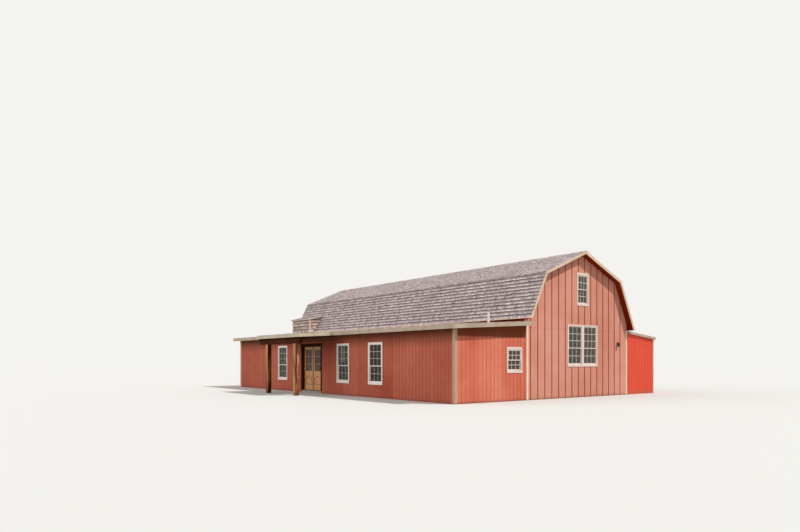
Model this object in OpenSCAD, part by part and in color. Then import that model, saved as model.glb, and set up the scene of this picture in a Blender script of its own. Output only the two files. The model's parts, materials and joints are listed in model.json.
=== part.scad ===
// Gambrel barn with a low side wing, a lean-to and an entry porch.
// Millimetres, +Z up. The front gable faces -Y and the ridge runs along Y.
// Drawing places count X from the wing's outer wall face and Y from the front wall face.

/* [Plan] */
// Width of the side wing, from its outer wall face to the barn's side wall
wing_w = 3700; // [3200:50:4600]
// Width of the gambrel barn between its outer wall faces
barn_w = 6600; // [6000:50:7600]
// Width of the lean-to
lean_w = 2150; // [1600:50:3000]
// Length of the building between its front and rear wall faces
barn_l = 18180; // [17600:20:20000]

/* [Walls and floor] */
// Thickness of the outside walls
wall_t = 140; // [110:5:200]
// Height of the floor slab above the ground
floor_t = 100; // [60:5:180]
// Side of a square post inside the barn
post_a = 140; // [100:5:200]
// Number of posts in each inner row
post_n = 5; // [2:1:8]
// Depth of the wall band that the posts carry
band_h = 340; // [260:10:440]

/* [Barn roof] */
// Height of the roof's upper face at the left eave
eave_z = 3170; // [2900:10:3400]
// How far the left eave reaches out past the barn's side wall
eave_out = 85; // [60:5:250]
// Height of the right eave's foot above the lean-to roof, further down the same slope
eave_clear = 30; // [10:5:100]
// Rise of the steep lower slope from the left eave
steep_rise = 1790; // [1500:10:2100]
// Run of the steep lower slope from the left eave
steep_run = 905; // [700:5:1100]
// Rise of the shallow upper slope
upper_rise = 1040; // [700:10:1300]
// Thickness of the barn roof, across the slope
roof_t = 120; // [90:5:160]
// Clearance between a sloping roof and what stands under it or on it
seat_gap = 0.1; // [0.05:0.05:0.3]
// How far the barn roof and the wing roof reach out past the gable walls
gable_out = 250; // [120:10:400]
// Width of the ridge cap on each side of the ridge
cap_w = 150; // [100:10:220]
// Thickness of the ridge cap
cap_t = 25; // [15:5:40]

/* [Loft] */
// Thickness of the loft floor boards
loft_t = 40; // [25:5:60]
// Depth of a loft joist
joist_h = 180; // [120:10:240]
// Width of a loft joist
joist_w = 60; // [40:5:90]
// Number of loft joists
joist_n = 19; // [8:1:24]
// Height of the roof's lower face above the loft boards, at the barn's side wall
loft_drop = 60; // [40:5:120]
// Number of rafter frames under the barn roof
frame_n = 7; // [3:1:9]
// Depth of a rafter
rafter_h = 140; // [90:10:180]
// Width of a rafter
rafter_w = 90; // [50:5:120]

/* [Low roofs] */
// Height of the wing roof's upper face over the wing's outer wall face
wing_z = 2777; // [2650:1:2850]
// Rise of the wing roof from its outer wall face to the barn
wing_rise = 213; // [120:1:260]
// How far the wing roof reaches out past its side wall
wing_out = 300; // [150:10:420]
// Thickness of the wing roof
wing_roof_t = 110; // [80:5:140]
// Height of the lean-to roof's upper face at the barn
lean_z = 2820; // [2700:10:2950]
// Fall of the lean-to roof across its width
lean_fall = 228; // [120:2:320]
// How far the lean-to roof reaches out past its walls
lean_out = 60; // [40:5:200]
// Thickness of the lean-to roof
lean_roof_t = 80; // [60:5:110]

/* [Trim] */
// Thickness of the trim boards
trim_t = 22; // [15:1:30]
// Width of the boards on the corners of the walls
corner_w = 110; // [70:5:150]
// Width of the rake boards on the barn's gables
rake_h = 110; // [80:5:200]
// How far a rake board's tail runs down past the eave
rake_tail = 50; // [0:10:80]
// Height of the fascia round the wing and the porch
fascia_h = 150; // [115:5:190]
// Height of the fascia round the lean-to
lean_fascia_h = 110; // [85:5:140]
// Height of the trim above the ground
trim_up = 20; // [5:5:60]

/* [Windows] */
// Width of the casing boards at a window's sides
casing_w = 60; // [40:5:100]
// Height of the head board over a window, apart from the tall ones
casing_head = 95; // [60:5:120]
// Height of the sill under a window
sill_h = 90; // [50:5:110]
// How far the sill stands out past the casing
sill_out = 8; // [0:2:40]
// Width of the frame inside a window opening
jamb_w = 14; // [10:2:40]
// Width of a sash's stiles and rails
sash_w = 34; // [24:2:60]
// Thickness of one sash
sash_t = 32; // [25:1:45]
// Thickness of the glass
glass_t = 6; // [4:1:10]
// How far the window frame stands out in front of the wall's face
frame_out = 16; // [0:2:20]
// Distance from the window frame's face in to the upper sash's face
sash_in = 10; // [4:2:20]
// Width of a tall window's opening
tall_w = 880; // [700:10:1000]
// Height of a tall window's opening
tall_h = 1585; // [1300:5:1700]
// Height of a tall window's meeting rail above the bottom of its opening
tall_rail = 670; // [600:5:800]
// Height of the head board over a tall window
tall_head = 45; // [30:5:100]
// Height of the tall windows' openings above the ground in the side wall
tall_z = 620; // [450:10:700]
// Distances from the front wall face to the middles of the side wall's windows
tall_y = [4770, 7215, 12905];
// Height of the paired windows' openings above the ground in the gables
pair_z = 1350; // [1000:10:1380]
// Width of the board between the openings of the paired windows
pair_gap = 120; // [100:5:200]
// Distance from the barn's middle to the middle of its gable windows
gable_shift = 120; // [-200:10:200]
// Width of the upper gable window's opening
upper_w = 650; // [450:10:800]
// Height of the upper gable window's opening
upper_h = 1175; // [900:5:1250]
// Height of the upper gable window's opening above the ground
upper_z = 3860; // [3700:10:3950]
// Width of the wing's end window opening
small_w = 720; // [500:10:800]
// Height of the wing's end window opening
small_h = 790; // [600:10:1000]
// Height of the wing's end window opening above the ground
small_z = 1135; // [900:5:1300]
// Distance from the wing's side wall to the middle of its end window
small_x = 2990; // [2000:10:3100]

/* [Entry doors] */
// Distance from the front wall face to the middle of the doorway
door_y = 9990; // [9800:10:10200]
// Width of the doorway between the walls
door_w = 1780; // [1600:10:1900]
// Height of the door leaves
leaf_h = 2030; // [1950:5:2100]
// Thickness of the door leaves
leaf_t = 44; // [38:1:50]
// Thickness of the door frame's jambs and head
door_jamb = 50; // [40:2:60]
// Width of the casing boards round the doorway
door_casing = 95; // [60:5:140]
// Height of the threshold
threshold_h = 15; // [8:1:25]
// Gap between a leaf and its frame or the threshold
leaf_gap = 8; // [6:1:12]
// Gap between the two leaves
meet_gap = 12; // [11:1:20]
// Width of a leaf's stiles and top rail
stile_w = 110; // [90:5:140]
// Height of a leaf's bottom rail
kick_h = 250; // [180:10:300]
// Height of a leaf's lower panel
panel_h = 400; // [300:10:440]
// Height of a leaf's lock rail
lock_h = 220; // [150:10:260]
// Thickness of a leaf's lower panel
panel_t = 18; // [14:1:30]
// Rise of the lower panel's arched head as a share of its width
arch_share = 0.2; // [0.1:0.05:0.4]
// Margin round the raised field of a leaf's lower panel
field_in = 50; // [30:5:80]
// Depth of the raised field's face behind the leaf's face
field_deep = 4; // [2:1:8]
// How far the threshold reaches out in front of the closed leaves
threshold_out = 40; // [20:5:80]
// Diameter of the door knob's rose
knob_d = 64; // [40:2:80]
// Diameter of the knob's ball
knob_ball = 58; // [40:2:70]
// Diameter of the knob's neck
knob_neck = 18; // [12:1:26]
// Thickness of the knob's rose
rose_t = 8; // [4:1:12]
// Distance from the leaf's face to the middle of the knob's ball
knob_out = 45; // [35:1:60]
// Distance from the meeting edge of a leaf to its knob
knob_edge = 60; // [45:5:80]
// Height of the knob above the leaf's bottom
knob_up = 880; // [800:10:1000]
// Diameter of the hinge barrels
hinge_d = 16; // [12:1:20]
// Distance from a leaf's inner face to its hinge barrels
hinge_off = 1; // [0.5:0.5:3]
// Thickness of the hinge plates
hinge_plate = 4; // [3:0.5:6]
// Height of one hinge
hinge_h = 90; // [60:5:120]
// Width of a hinge plate on the face of a leaf
hinge_w = 40; // [25:5:60]
// Distance from a leaf's ends to the middles of its outer hinges
hinge_end = 200; // [150:10:300]
// Clearance between the knuckles of a hinge
hinge_clear = 0.3; // [0.2:0.1:0.5]

/* [Porch] */
// Distance from the front wall face to the near end of the porch roof
porch_y0 = 7700; // [7500:10:7900]
// Distance from the front wall face to the far end of the porch roof
porch_y1 = 11800; // [11500:10:12100]
// How far the porch roof reaches out from the side wall
porch_out = 1900; // [1500:10:2400]
// Side of the square porch posts
porch_post = 200; // [120:5:240]
// Distance from the side wall to the middle of the porch posts
porch_post_x = 1740; // [1250:10:1740]
// Distances from the porch roof's near and far ends to the middles of its posts
porch_post_in = [540, 870];
// Depth of the porch beam
porch_beam_h = 230; // [150:10:260]
// Width of the porch beam
porch_beam_w = 150; // [100:5:180]
// How far the porch beam's ends stay back from the ends of the porch roof
beam_in = 60; // [0:10:120]
// Height of the bevel on the porch beam's tails
beam_tail = 138; // [60:2:180]
// Depth of the porch rafters
porch_rafter_h = 90; // [70:5:120]
// Width of the porch rafters
porch_rafter_w = 60; // [40:5:90]
// Number of porch rafters
porch_rafter_n = 7; // [4:1:9]
// Distance from the ends of the porch roof to its outer rafters
rafter_in = 100; // [60:10:200]
// How far the rafters' ends stay back from the porch roof's long edge
rafter_back = 20; // [0:5:60]

/* [Dormer] */
// Distance from the rear wall face to the dormer's near end
dormer_l = 2200; // [1400:50:3200]
// How far the dormer's front stands out past the left eave, on the wing roof
dormer_reach = 280; // [150:10:350]
// Height of the dormer's front above the left eave
dormer_h = 780; // [500:10:1000]
// Rise of the dormer roof as a share of its run
dormer_share = 0.25; // [0.15:0.01:0.35]
// Thickness of the dormer's front, ends and roof
dormer_t = 60; // [40:5:90]
// How far the dormer's roof reaches out past its walls
dormer_out = 80; // [40:10:150]

/* [Small fittings] */
// Distance from the wing's side wall to the vent pipe
vent_x = 2240; // [1000:10:3200]
// Distance from the front wall face to the vent pipe
vent_y = 600; // [300:10:2000]
// Outer diameter of the vent pipe
vent_d = 80; // [50:5:120]
// Height of the vent pipe above the roof
vent_h = 420; // [200:10:600]
// Thickness of the vent pipe's wall
vent_wall = 5; // [3:1:10]
// Thickness of the flashing round the vent pipe
flash_t = 8; // [7:1:12]
// Distance from the barn's right corner to the wall lamp
lamp_in = 730; // [500:10:1200]
// Height of the wall lamp's arm above the ground
lamp_z = 2230; // [1800:10:2400]
// Distance from the wall to the middle of the lamp's cage
lamp_out = 90; // [75:5:120]
// Width of the lamp's back plate
lamp_plate_w = 90; // [60:5:110]
// Height of the lamp's back plate
lamp_plate_h = 140; // [100:10:180]
// Thickness of the lamp's back plate
lamp_plate_t = 12; // [8:1:20]
// Side of the lamp's square arm
lamp_arm = 16; // [10:1:24]

/* [Hidden] */
$fn = 48;

// Plan lines
barn_x0 = wing_w;
barn_x1 = wing_w + barn_w;
barn_c = wing_w + barn_w / 2;
all_x1 = barn_x1 + lean_w;
window_c = barn_c + gable_shift;

// Outer box of the building, which puts the origin at the middle of its footprint
lean_end = all_x1 + lean_out;
box_x0 = -porch_out - trim_t;
box_x1 = lean_end + trim_t;
box_y0 = -gable_out - trim_t;
box_y1 = barn_l + gable_out + trim_t;

// Gambrel section, measured out from the barn's middle
half_w = barn_w / 2;
eave_u = half_w + eave_out;
steep = steep_rise / steep_run;
steep_a = atan(steep);
break_u = eave_u - steep_run;
break_z = eave_z + steep_rise;
shallow = upper_rise / break_u;
shallow_a = atan(shallow);
ridge_z = break_z + upper_rise;

// Distance from the middle to the steep slope's face d below its surface, at height z
function steep_u(d, z) = eave_u - d / sin(steep_a) - (z - eave_z) / steep;
// Height of the same face at distance u
function steep_z(d, u) = eave_z + (eave_u - d / sin(steep_a) - u) * steep;
// Height of the shallow slope's face d below its surface, at distance u
function shallow_z(d, u) = ridge_z - d / cos(shallow_a) - u * shallow;
// Point where both faces d below the surface meet
function knee_u(d) = (steep_u(d, ridge_z - d / cos(shallow_a))) / (1 - shallow / steep);
function knee(d) = [knee_u(d), shallow_z(d, knee_u(d))];

// Heights of the wing roof's and the lean-to roof's upper faces at X
wing_slope = wing_rise / wing_w;
lean_slope = lean_fall / lean_w;
function wing_top(x) = wing_z + x * wing_slope;
function lean_top(x) = lean_z - (x - barn_x1) * lean_slope;
// Heights of what stands under these roofs
function wing_under(x) = wing_top(x) - wing_roof_t - seat_gap;
function lean_under(x) = lean_top(x) - lean_roof_t - seat_gap;

// Height where the right steep slope's lower face comes down to eave_clear above the lean-to roof
lean_meet_z = (lean_z + eave_clear - lean_slope * (steep_u(roof_t, 0) - half_w)) / (1 - lean_slope / steep);
// Height of the barn roof's upper face at the eave: s = -1 for the left side, 1 for the right one
function foot_z(s) = s > 0 ? lean_meet_z + roof_t * cos(steep_a) : eave_z;

// Depth of what stands under the barn roof, wall band over the inner posts, and the loft floor
under_t = roof_t + seat_gap;
wall_top = steep_z(under_t, half_w);
band_z0 = wall_top - band_h;
loft_z = wall_top - loft_drop;
inner_u = half_w - wall_t;

// How far the parts of one solid run into each other, and cuts past a face
bite = 1;

// Depth of the upper sash's face behind the wall's face
sash_y = sash_in - frame_out;

// Doorway
door_y0 = door_y - door_w / 2;
door_y1 = door_y + door_w / 2;
leaf_w = (door_w - 2 * door_jamb - 2 * leaf_gap - meet_gap) / 2;
leaf_z0 = floor_t + threshold_h + leaf_gap;
head_z = leaf_z0 + leaf_h + leaf_gap;
leaf_x0 = wall_t - leaf_t;
light_z = kick_h + panel_h + lock_h;
// Place of the hinge pins, drawn from a leaf's outer face and its hinge edge
pin_deep = leaf_t + hinge_off + hinge_d / 2;
pin_side = leaf_gap / 2;
hinge_z = [hinge_end, leaf_h / 2, leaf_h - hinge_end];
knuckle = hinge_h / 3;

// Windows, drawn for the front wall: middle, height above the ground, width and height of the
// opening, height of the meeting rail in it and of the head board over it
function tall_window(c, z) = [c, z, tall_w, tall_h, tall_rail, tall_head];
side_window = tall_window(0, tall_z);
pair_windows = [for (s = [-1, 1]) tall_window(window_c + s * (tall_w + pair_gap) / 2, pair_z)];
upper_window = [window_c, upper_z, upper_w, upper_h, upper_h / 2, casing_head];
small_window = [small_x, small_z, small_w, small_h, small_h / 2, casing_head];

// Radius and height of the lamp's cage and cap
lamp_profile = [[0, -120], [30, -120], [42, -105], [52, 10], [70, 14], [52, 40], [14, 66], [10, 84], [0, 84]];

module placed() translate([-(box_x0 + box_x1) / 2, -(box_y0 + box_y1) / 2, 0]) children();

// Extrusion along Y of a section drawn in X and Z
module along_y(y0, y1) translate([0, y1, 0]) rotate([90, 0, 0]) linear_extrude(y1 - y0) children();

// Box from one corner to the other
module block(a, b) translate(a) cube(b - a);

// Places what is drawn for the front wall on both gable ends
module both_ends() {
    children();
    translate([0, barn_l, 0]) mirror([0, 1, 0]) children();
}

// Section of a barn roof slope between two depths, on the side where X grows
module steep_section(d0, d1, z0) polygon([
    [steep_u(d0, z0), z0], knee(d0), knee(d1), [steep_u(d1, z0), z0]]);

module shallow_section(d0, d1) polygon([
    knee(d0), [0, shallow_z(d0, 0)], [0, shallow_z(d1, 0)], knee(d1)]);

module barn_side(s) translate([barn_c, 0, 0]) mirror([s < 0 ? 1 : 0, 0, 0]) children();

// Steep roof slope, its foot cut square to it
module roof_steep(s) color("#9b8b88") barn_side(s) along_y(-gable_out, barn_l + gable_out) {
    foot = [steep_u(0, foot_z(s)), foot_z(s)];
    polygon([foot, knee(0), knee(roof_t), foot - roof_t * [sin(steep_a), cos(steep_a)]]);
}

module roof_shallow(s) color("#a09390") barn_side(s) along_y(-gable_out, barn_l + gable_out)
    shallow_section(0, roof_t);

// Outline of a gable wall under the roof
module gable_outline() translate([barn_c, 0]) polygon([
    [-half_w, 0], [half_w, 0], [half_w, wall_top], knee(under_t),
    [0, shallow_z(under_t, 0)], [-knee(under_t)[0], knee(under_t)[1]], [-half_w, wall_top]]);

module window_hole(win) translate([win[0] - win[2] / 2, win[1]]) square([win[2], win[3]]);

module gable_wall() color("#d9857a") along_y(0, wall_t) difference() {
    gable_outline();
    for (win = pair_windows) window_hole(win);
    window_hole(upper_window);
}

module wing_end_wall() color("#d97c68") along_y(0, wall_t) difference() {
    polygon([[0, 0], [barn_x0, 0], [barn_x0, wing_under(barn_x0)], [0, wing_under(0)]]);
    window_hole(small_window);
}

module lean_end_wall() color("#e4583f") along_y(0, wall_t) polygon([
    [barn_x1, 0], [all_x1, 0], [all_x1, lean_under(all_x1)], [barn_x1, lean_under(barn_x1)]]);

// Section of the wing's side wall up to its roof
module wing_wall_section(z0) polygon([
    [0, z0], [wall_t, z0], [wall_t, wing_under(wall_t)], [0, wing_under(0)]]);

// Part of the wing's side wall between two places, with its windows
module wing_wall(y0, y1) color("#a5554a") difference() {
    along_y(y0, y1) wing_wall_section(0);
    for (y = tall_y) if (y > y0 && y < y1)
        block([-bite, y - tall_w / 2, tall_z], [wall_t + bite, y + tall_w / 2, tall_z + tall_h]);
}

module post_row(s) color("#8a6239") barn_side(s)
    for (k = [1 : post_n]) {
        y = wall_t + k * (barn_l - 2 * wall_t) / (post_n + 1);
        block([half_w - post_a, y - post_a / 2, floor_t], [half_w, y + post_a / 2, band_z0]);
    }

module side_band(s) color("#a5554a") barn_side(s) along_y(wall_t, barn_l - wall_t) polygon([
    [half_w, band_z0], [half_w, wall_top], [inner_u, steep_z(under_t, inner_u)],
    [inner_u, band_z0]]);

module floor_slab() color("#b9b4a8") placed() {
    block([wall_t, wall_t, 0], [all_x1 - wall_t, barn_l - wall_t, floor_t]);
    block([0, door_y0, 0], [wall_t + bite, door_y1, floor_t]);
}

module loft_floor() color("#a8804c") placed() {
    block([barn_c - inner_u, wall_t, loft_z - loft_t], [barn_c + inner_u, barn_l - wall_t, loft_z]);
    for (k = [0 : joist_n - 1]) {
        y = 2 * wall_t + k * (barn_l - 4 * wall_t) / (joist_n - 1);
        block([barn_c - inner_u, y - joist_w / 2, loft_z - loft_t - joist_h],
            [barn_c + inner_u, y + joist_w / 2, loft_z - loft_t + bite]);
    }
}

// One rafter frame: two steep and two shallow rafters with a collar tie at the knees
module rafter_frame() {
    deep = under_t + rafter_h;
    for (m = [0, 1]) mirror([m, 0, 0]) {
        steep_section(under_t, deep, loft_z);
        shallow_section(under_t, deep);
        polygon([[0, knee(deep)[1] - rafter_h], [0, knee(deep)[1]], knee(deep),
            [steep_u(deep, knee(deep)[1] - rafter_h) + bite, knee(deep)[1] - rafter_h]]);
    }
}

module roof_frames() color("#a8804c") placed() translate([barn_c, 0, 0])
    for (k = [0 : frame_n - 1]) {
        y = wall_t + rafter_w + k * (barn_l - 2 * wall_t - 2 * rafter_w) / (frame_n - 1);
        along_y(y - rafter_w / 2, y + rafter_w / 2) intersection() {
            rafter_frame();
            translate([-inner_u, loft_z]) square([2 * inner_u, ridge_z - loft_z]);
        }
    }

module ridge_cap() color("#8f8380") placed() translate([barn_c, 0, 0])
    along_y(-gable_out, barn_l + gable_out) polygon([
        [-cap_w, shallow_z(0, cap_w)], [0, ridge_z], [cap_w, shallow_z(0, cap_w)],
        [cap_w, shallow_z(0, cap_w) + cap_t], [0, ridge_z + cap_t], [-cap_w, shallow_z(0, cap_w) + cap_t]]);

// Section of the wing roof between two places
module low_roof_section(x0, x1, t) polygon([
    [x0, wing_top(x0) - t], [x1, wing_top(x1) - t], [x1, wing_top(x1)], [x0, wing_top(x0)]]);

module wing_roof() color("#9b8b88") placed()
    along_y(-gable_out, barn_l + gable_out) low_roof_section(-wing_out, barn_x0, wing_roof_t);

module lean_to_roof() color("#a9a59c") placed() along_y(-lean_out, barn_l + lean_out) polygon([
    [barn_x1, lean_top(barn_x1) - lean_roof_t], [lean_end, lean_top(lean_end) - lean_roof_t],
    [lean_end, lean_top(lean_end)], [barn_x1, lean_top(barn_x1)]]);

// Rake board on one half of a gable, with a tail below the eave
module half_rake(s) {
    low = foot_z(s) - rake_tail;
    polygon([[steep_u(0, low), low], knee(0), [0, ridge_z],
        [0, shallow_z(rake_h, 0)], knee(rake_h), [steep_u(rake_h, low), low]]);
}

module rake_boards() color("#e8dcc4") placed() both_ends() for (s = [-1, 1])
    barn_side(s) along_y(-gable_out - trim_t, -gable_out) half_rake(s);

// Fascia: along the wing's eave beside the porch, up the wing's ends and round the lean-to
module fascia_boards() color("#e0cfae") placed() {
    top = wing_top(-wing_out);
    for (span = [[-gable_out, porch_y0 - trim_t], [porch_y1 + trim_t, barn_l + gable_out]])
        block([-wing_out - trim_t, span[0], top - fascia_h], [-wing_out, span[1], top]);
    both_ends() along_y(-gable_out - trim_t, -gable_out)
        low_roof_section(-wing_out - trim_t, barn_x0, fascia_h);
    block([lean_end, -lean_out, lean_top(lean_end) - lean_fascia_h],
        [box_x1, barn_l + lean_out, lean_top(lean_end)]);
    both_ends() along_y(-lean_out - trim_t, -lean_out) polygon([
        [barn_x1, lean_top(barn_x1) - lean_fascia_h], [box_x1, lean_top(box_x1) - lean_fascia_h],
        [box_x1, lean_top(box_x1)], [barn_x1, lean_top(barn_x1)]]);
}

// Upright board on an end wall between two places, up to a height
module end_board(x0, x1, top) block([x0, -trim_t, trim_up], [x1, 0, top]);

// Vertical boards on the corners of the walls at both ends, and on the dormer's corners
module corner_boards() color("#f0e4cf") placed() {
    both_ends() {
        end_board(-trim_t, corner_w - trim_t, wing_under(-trim_t));
        block([-trim_t, 0, trim_up], [0, corner_w, wing_under(-trim_t)]);
        end_board(barn_x0 - corner_w / 2, barn_x0 + corner_w / 2, wing_under(barn_x0 - corner_w / 2));
        end_board(barn_x1 - corner_w, barn_x1, lean_top(barn_x1));
        end_board(all_x1 - corner_w / 2, all_x1 + trim_t, lean_under(all_x1 + trim_t));
        block([all_x1, 0, trim_up], [all_x1 + trim_t, corner_w / 2, lean_under(all_x1 + trim_t)]);
    }
    for (y = [barn_l - dormer_l, barn_l - corner_w])
        block([barn_c - dormer_u - trim_t, y, dormer_foot(dormer_u)],
            [barn_c - dormer_u, y + corner_w, dormer_z(dormer_t, dormer_u + trim_t)]);
}

// Casing of one window: side boards, a head board over them and a sill
module casing(win) {
    x0 = win[0] - win[2] / 2;
    x1 = win[0] + win[2] / 2;
    z1 = win[1] + win[3];
    for (x = [x0 - casing_w, x1]) block([x, -trim_t, win[1]], [x + casing_w, 0, z1]);
    block([x0 - casing_w, -trim_t, z1], [x1 + casing_w, 0, z1 + win[5]]);
    block([x0 - casing_w, -trim_t - sill_out, win[1] - sill_h], [x1 + casing_w, 0, win[1]]);
}

// Casings of the paired windows, with one board between them
module pair_casing() {
    for (win = pair_windows) casing(win);
    block([window_c - pair_gap / 2, -trim_t, pair_z - sill_h],
        [window_c + pair_gap / 2, 0, pair_z + tall_h + tall_head]);
}

// Turns what is drawn for the front wall onto the wing's side wall, at distance y
module on_side_wall(y) translate([0, y, 0]) rotate([0, 0, -90]) children();

module window_casings() color("#f3e8d6") placed() {
    for (y = tall_y) on_side_wall(y) casing(side_window);
    both_ends() {
        pair_casing();
        casing(upper_window);
        casing(small_window);
    }
}

// Flat ring of a width, between two depths
module ring(x0, z0, w, h, b, y0, y1) along_y(y0, y1) translate([x0, z0]) difference() {
    square([w, h]);
    translate([b, b]) square([w - 2 * b, h - 2 * b]);
}

// Frame and two sliding sashes that lap at the meeting rail, the upper one outside the lower one
module sash_window(win) {
    x0 = win[0] - win[2] / 2;
    z0 = win[1];
    mid_y = sash_y + sash_t;
    sash_x = x0 + jamb_w;
    sash_l = win[2] - 2 * jamb_w;
    lower_h = win[4] + sash_w / 2 - jamb_w;
    upper_h = win[3] - win[4] + sash_w / 2 - jamb_w;
    ring(x0, z0, win[2], win[3], jamb_w, -frame_out, mid_y + sash_t + sash_in);
    ring(sash_x, z0 + win[4] - sash_w / 2, sash_l, upper_h, sash_w, sash_y, mid_y);
    ring(sash_x, z0 + jamb_w, sash_l, lower_h, sash_w, mid_y, mid_y + sash_t);
}

module window_sashes() color("#efe6d4") placed() {
    for (y = tall_y) on_side_wall(y) sash_window(side_window);
    both_ends() {
        for (win = pair_windows) sash_window(win);
        sash_window(upper_window);
        sash_window(small_window);
    }
}

// Panes of the two sashes, filling what the sash rings leave open
module panes(win) {
    edge = jamb_w + sash_w;
    x0 = win[0] - win[2] / 2 + edge;
    x1 = win[0] + win[2] / 2 - edge;
    rail_z = win[1] + win[4];
    pane_y = sash_y + (sash_t - glass_t) / 2;
    block([x0, pane_y, rail_z + sash_w / 2], [x1, pane_y + glass_t, win[1] + win[3] - edge]);
    block([x0, pane_y + sash_t, win[1] + edge], [x1, pane_y + sash_t + glass_t, rail_z - sash_w / 2]);
}

module side_glass(y0, y1) color("#5b5a4a") placed()
    for (y = tall_y) if (y > y0 && y < y1) on_side_wall(y) panes(side_window);

module end_glass() {
    for (win = pair_windows) panes(win);
    panes(upper_window);
    panes(small_window);
}

// Jambs and head of the entry, the threshold, and a thin brown casing outside
module entry_door_frame() color("#4a2a16") placed() {
    for (y = [door_y0, door_y1 - door_jamb])
        block([0, y, floor_t], [wall_t, y + door_jamb, head_z]);
    block([0, door_y0, head_z], [wall_t, door_y1, head_z + door_jamb]);
    block([leaf_x0 - threshold_out, door_y0 + door_jamb, floor_t],
        [wall_t, door_y1 - door_jamb, floor_t + threshold_h]);
    for (y = [door_y0 - door_casing, door_y1])
        block([-trim_t, y, floor_t], [0, y + door_casing, head_z + door_jamb]);
    block([-trim_t, door_y0 - door_casing, head_z + door_jamb],
        [0, door_y1 + door_casing, head_z + door_jamb + door_casing]);
    for (s = [-1, 1], z = hinge_z) in_doorway(s) hinge_leaf(-1, z, knuckle);
}

// Panel outline with an arched head
module arched_panel(w, h) {
    rise = w * arch_share;
    r = (w * w / 4 + rise * rise) / (2 * rise);
    square([w, h - rise]);
    intersection() {
        translate([0, h - rise - bite]) square([w, rise + bite]);
        translate([w / 2, h - r]) circle(r, $fn = 96);
    }
}

// Knuckle and plate of a hinge: s = 1 on the door leaf, -1 on the frame
module hinge_leaf(s, z, h) {
    translate([-pin_side, pin_deep, z]) cylinder(h = h, d = hinge_d, center = true);
    plate_x = s > 0 ? 0 : -leaf_gap - hinge_w;
    block([min(-pin_side, plate_x), pin_deep - hinge_plate, z - h / 2],
        [max(-pin_side, plate_x + hinge_w), pin_deep, z + h / 2]);
    block([plate_x, leaf_t, z - h / 2], [plate_x + hinge_w, pin_deep, z + h / 2]);
}

// Door leaf drawn with its hinge edge at x = 0 and its outer face at y = 0
module door_leaf() {
    open_w = leaf_w - 2 * stile_w;
    along_y(0, leaf_t) difference() {
        square([leaf_w, leaf_h]);
        translate([stile_w, kick_h]) arched_panel(open_w, panel_h);
        translate([stile_w, light_z]) square([open_w, leaf_h - light_z - stile_w]);
    }
    along_y((leaf_t - panel_t) / 2, (leaf_t + panel_t) / 2)
        translate([stile_w - bite, kick_h - bite]) arched_panel(open_w + 2 * bite, panel_h + 2 * bite);
    along_y(field_deep, leaf_t - field_deep) translate([stile_w + field_in, kick_h + field_in])
        arched_panel(open_w - 2 * field_in, panel_h - 2 * field_in);
    for (z = hinge_z, end = [-1, 1])
        hinge_leaf(1, z + end * knuckle, knuckle - hinge_clear);
}

// Places a leaf in the doorway: s = 1 for the left leaf seen from outside, -1 for the right one
module in_doorway(s) {
    y = s > 0 ? door_y1 - door_jamb - leaf_gap : door_y0 + door_jamb + leaf_gap;
    translate([leaf_x0, y, leaf_z0]) rotate([0, 0, -90]) mirror([s > 0 ? 0 : 1, 0, 0]) children();
}

module leaf_pane() {
    block([stile_w, (leaf_t - glass_t) / 2, light_z],
        [leaf_w - stile_w, (leaf_t + glass_t) / 2, leaf_h - stile_w]);
}

// Knob and rose on both faces of the left leaf, turned about its spindle
module door_knob() color("#e8e4da") placed() in_doorway(1)
    translate([leaf_w - knob_edge, 0, knob_up]) for (side = [0, 1])
        translate([0, side * leaf_t, 0]) rotate([side == 0 ? 90 : -90, 0, 0]) {
            cylinder(h = rose_t, d = knob_d);
            cylinder(h = knob_out, d = knob_neck);
            translate([0, 0, knob_out]) sphere(d = knob_ball);
        }

module porch_posts() color("#8e5a30") placed()
    for (y = [porch_y0 + porch_post_in[0], porch_y1 - porch_post_in[1]]) {
    top = wing_under(-porch_post_x) - porch_rafter_h - porch_beam_h;
    block([-porch_post_x - porch_post / 2, y - porch_post / 2, 0],
        [-porch_post_x + porch_post / 2, y + porch_post / 2, top]);
}

// Beam on the posts with bevelled tails, and rafters from the wall over the beam
module porch_frame() color("#4a2412") placed() {
    beam_top = wing_under(-porch_post_x) - porch_rafter_h;
    beam_low = beam_top - porch_beam_h;
    y0 = porch_y0 + beam_in;
    y1 = porch_y1 - beam_in;
    rafter_end = rafter_back - porch_out;
    translate([-porch_post_x - porch_beam_w / 2, 0, 0]) rotate([90, 0, 90]) linear_extrude(porch_beam_w)
        polygon([[y0, beam_top], [y1, beam_top], [y1, beam_low + beam_tail], [y1 - beam_tail, beam_low],
            [y0 + beam_tail, beam_low], [y0, beam_low + beam_tail]]);
    for (k = [0 : porch_rafter_n - 1]) {
        y = porch_y0 + rafter_in + k * (porch_y1 - porch_y0 - 2 * rafter_in) / (porch_rafter_n - 1);
        along_y(y - porch_rafter_w / 2, y + porch_rafter_w / 2) polygon([
            [rafter_end, wing_under(rafter_end)],
            [rafter_end, wing_under(rafter_end) - porch_rafter_h / 2],
            [rafter_end + porch_rafter_h / 2, wing_under(rafter_end) - porch_rafter_h],
            [0, wing_under(0) - porch_rafter_h],
            [0, wing_under(0)]]);
    }
}

// Porch roof, which carries on the wing roof's slope, with its own fascia
module porch_roof() color("#9b8b88") placed() {
    along_y(porch_y0, porch_y1) low_roof_section(-porch_out, -wing_out, wing_roof_t);
    along_y(porch_y0 - trim_t, porch_y1 + trim_t) polygon([
        [-porch_out - trim_t, wing_top(-porch_out) - fascia_h], [-porch_out, wing_top(-porch_out) - fascia_h],
        [-porch_out, wing_top(-porch_out)], [-porch_out - trim_t, wing_top(-porch_out)]]);
    for (y = [porch_y0 - trim_t, porch_y1])
        along_y(y, y + trim_t) low_roof_section(-porch_out, -wing_out, fascia_h);
}

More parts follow.
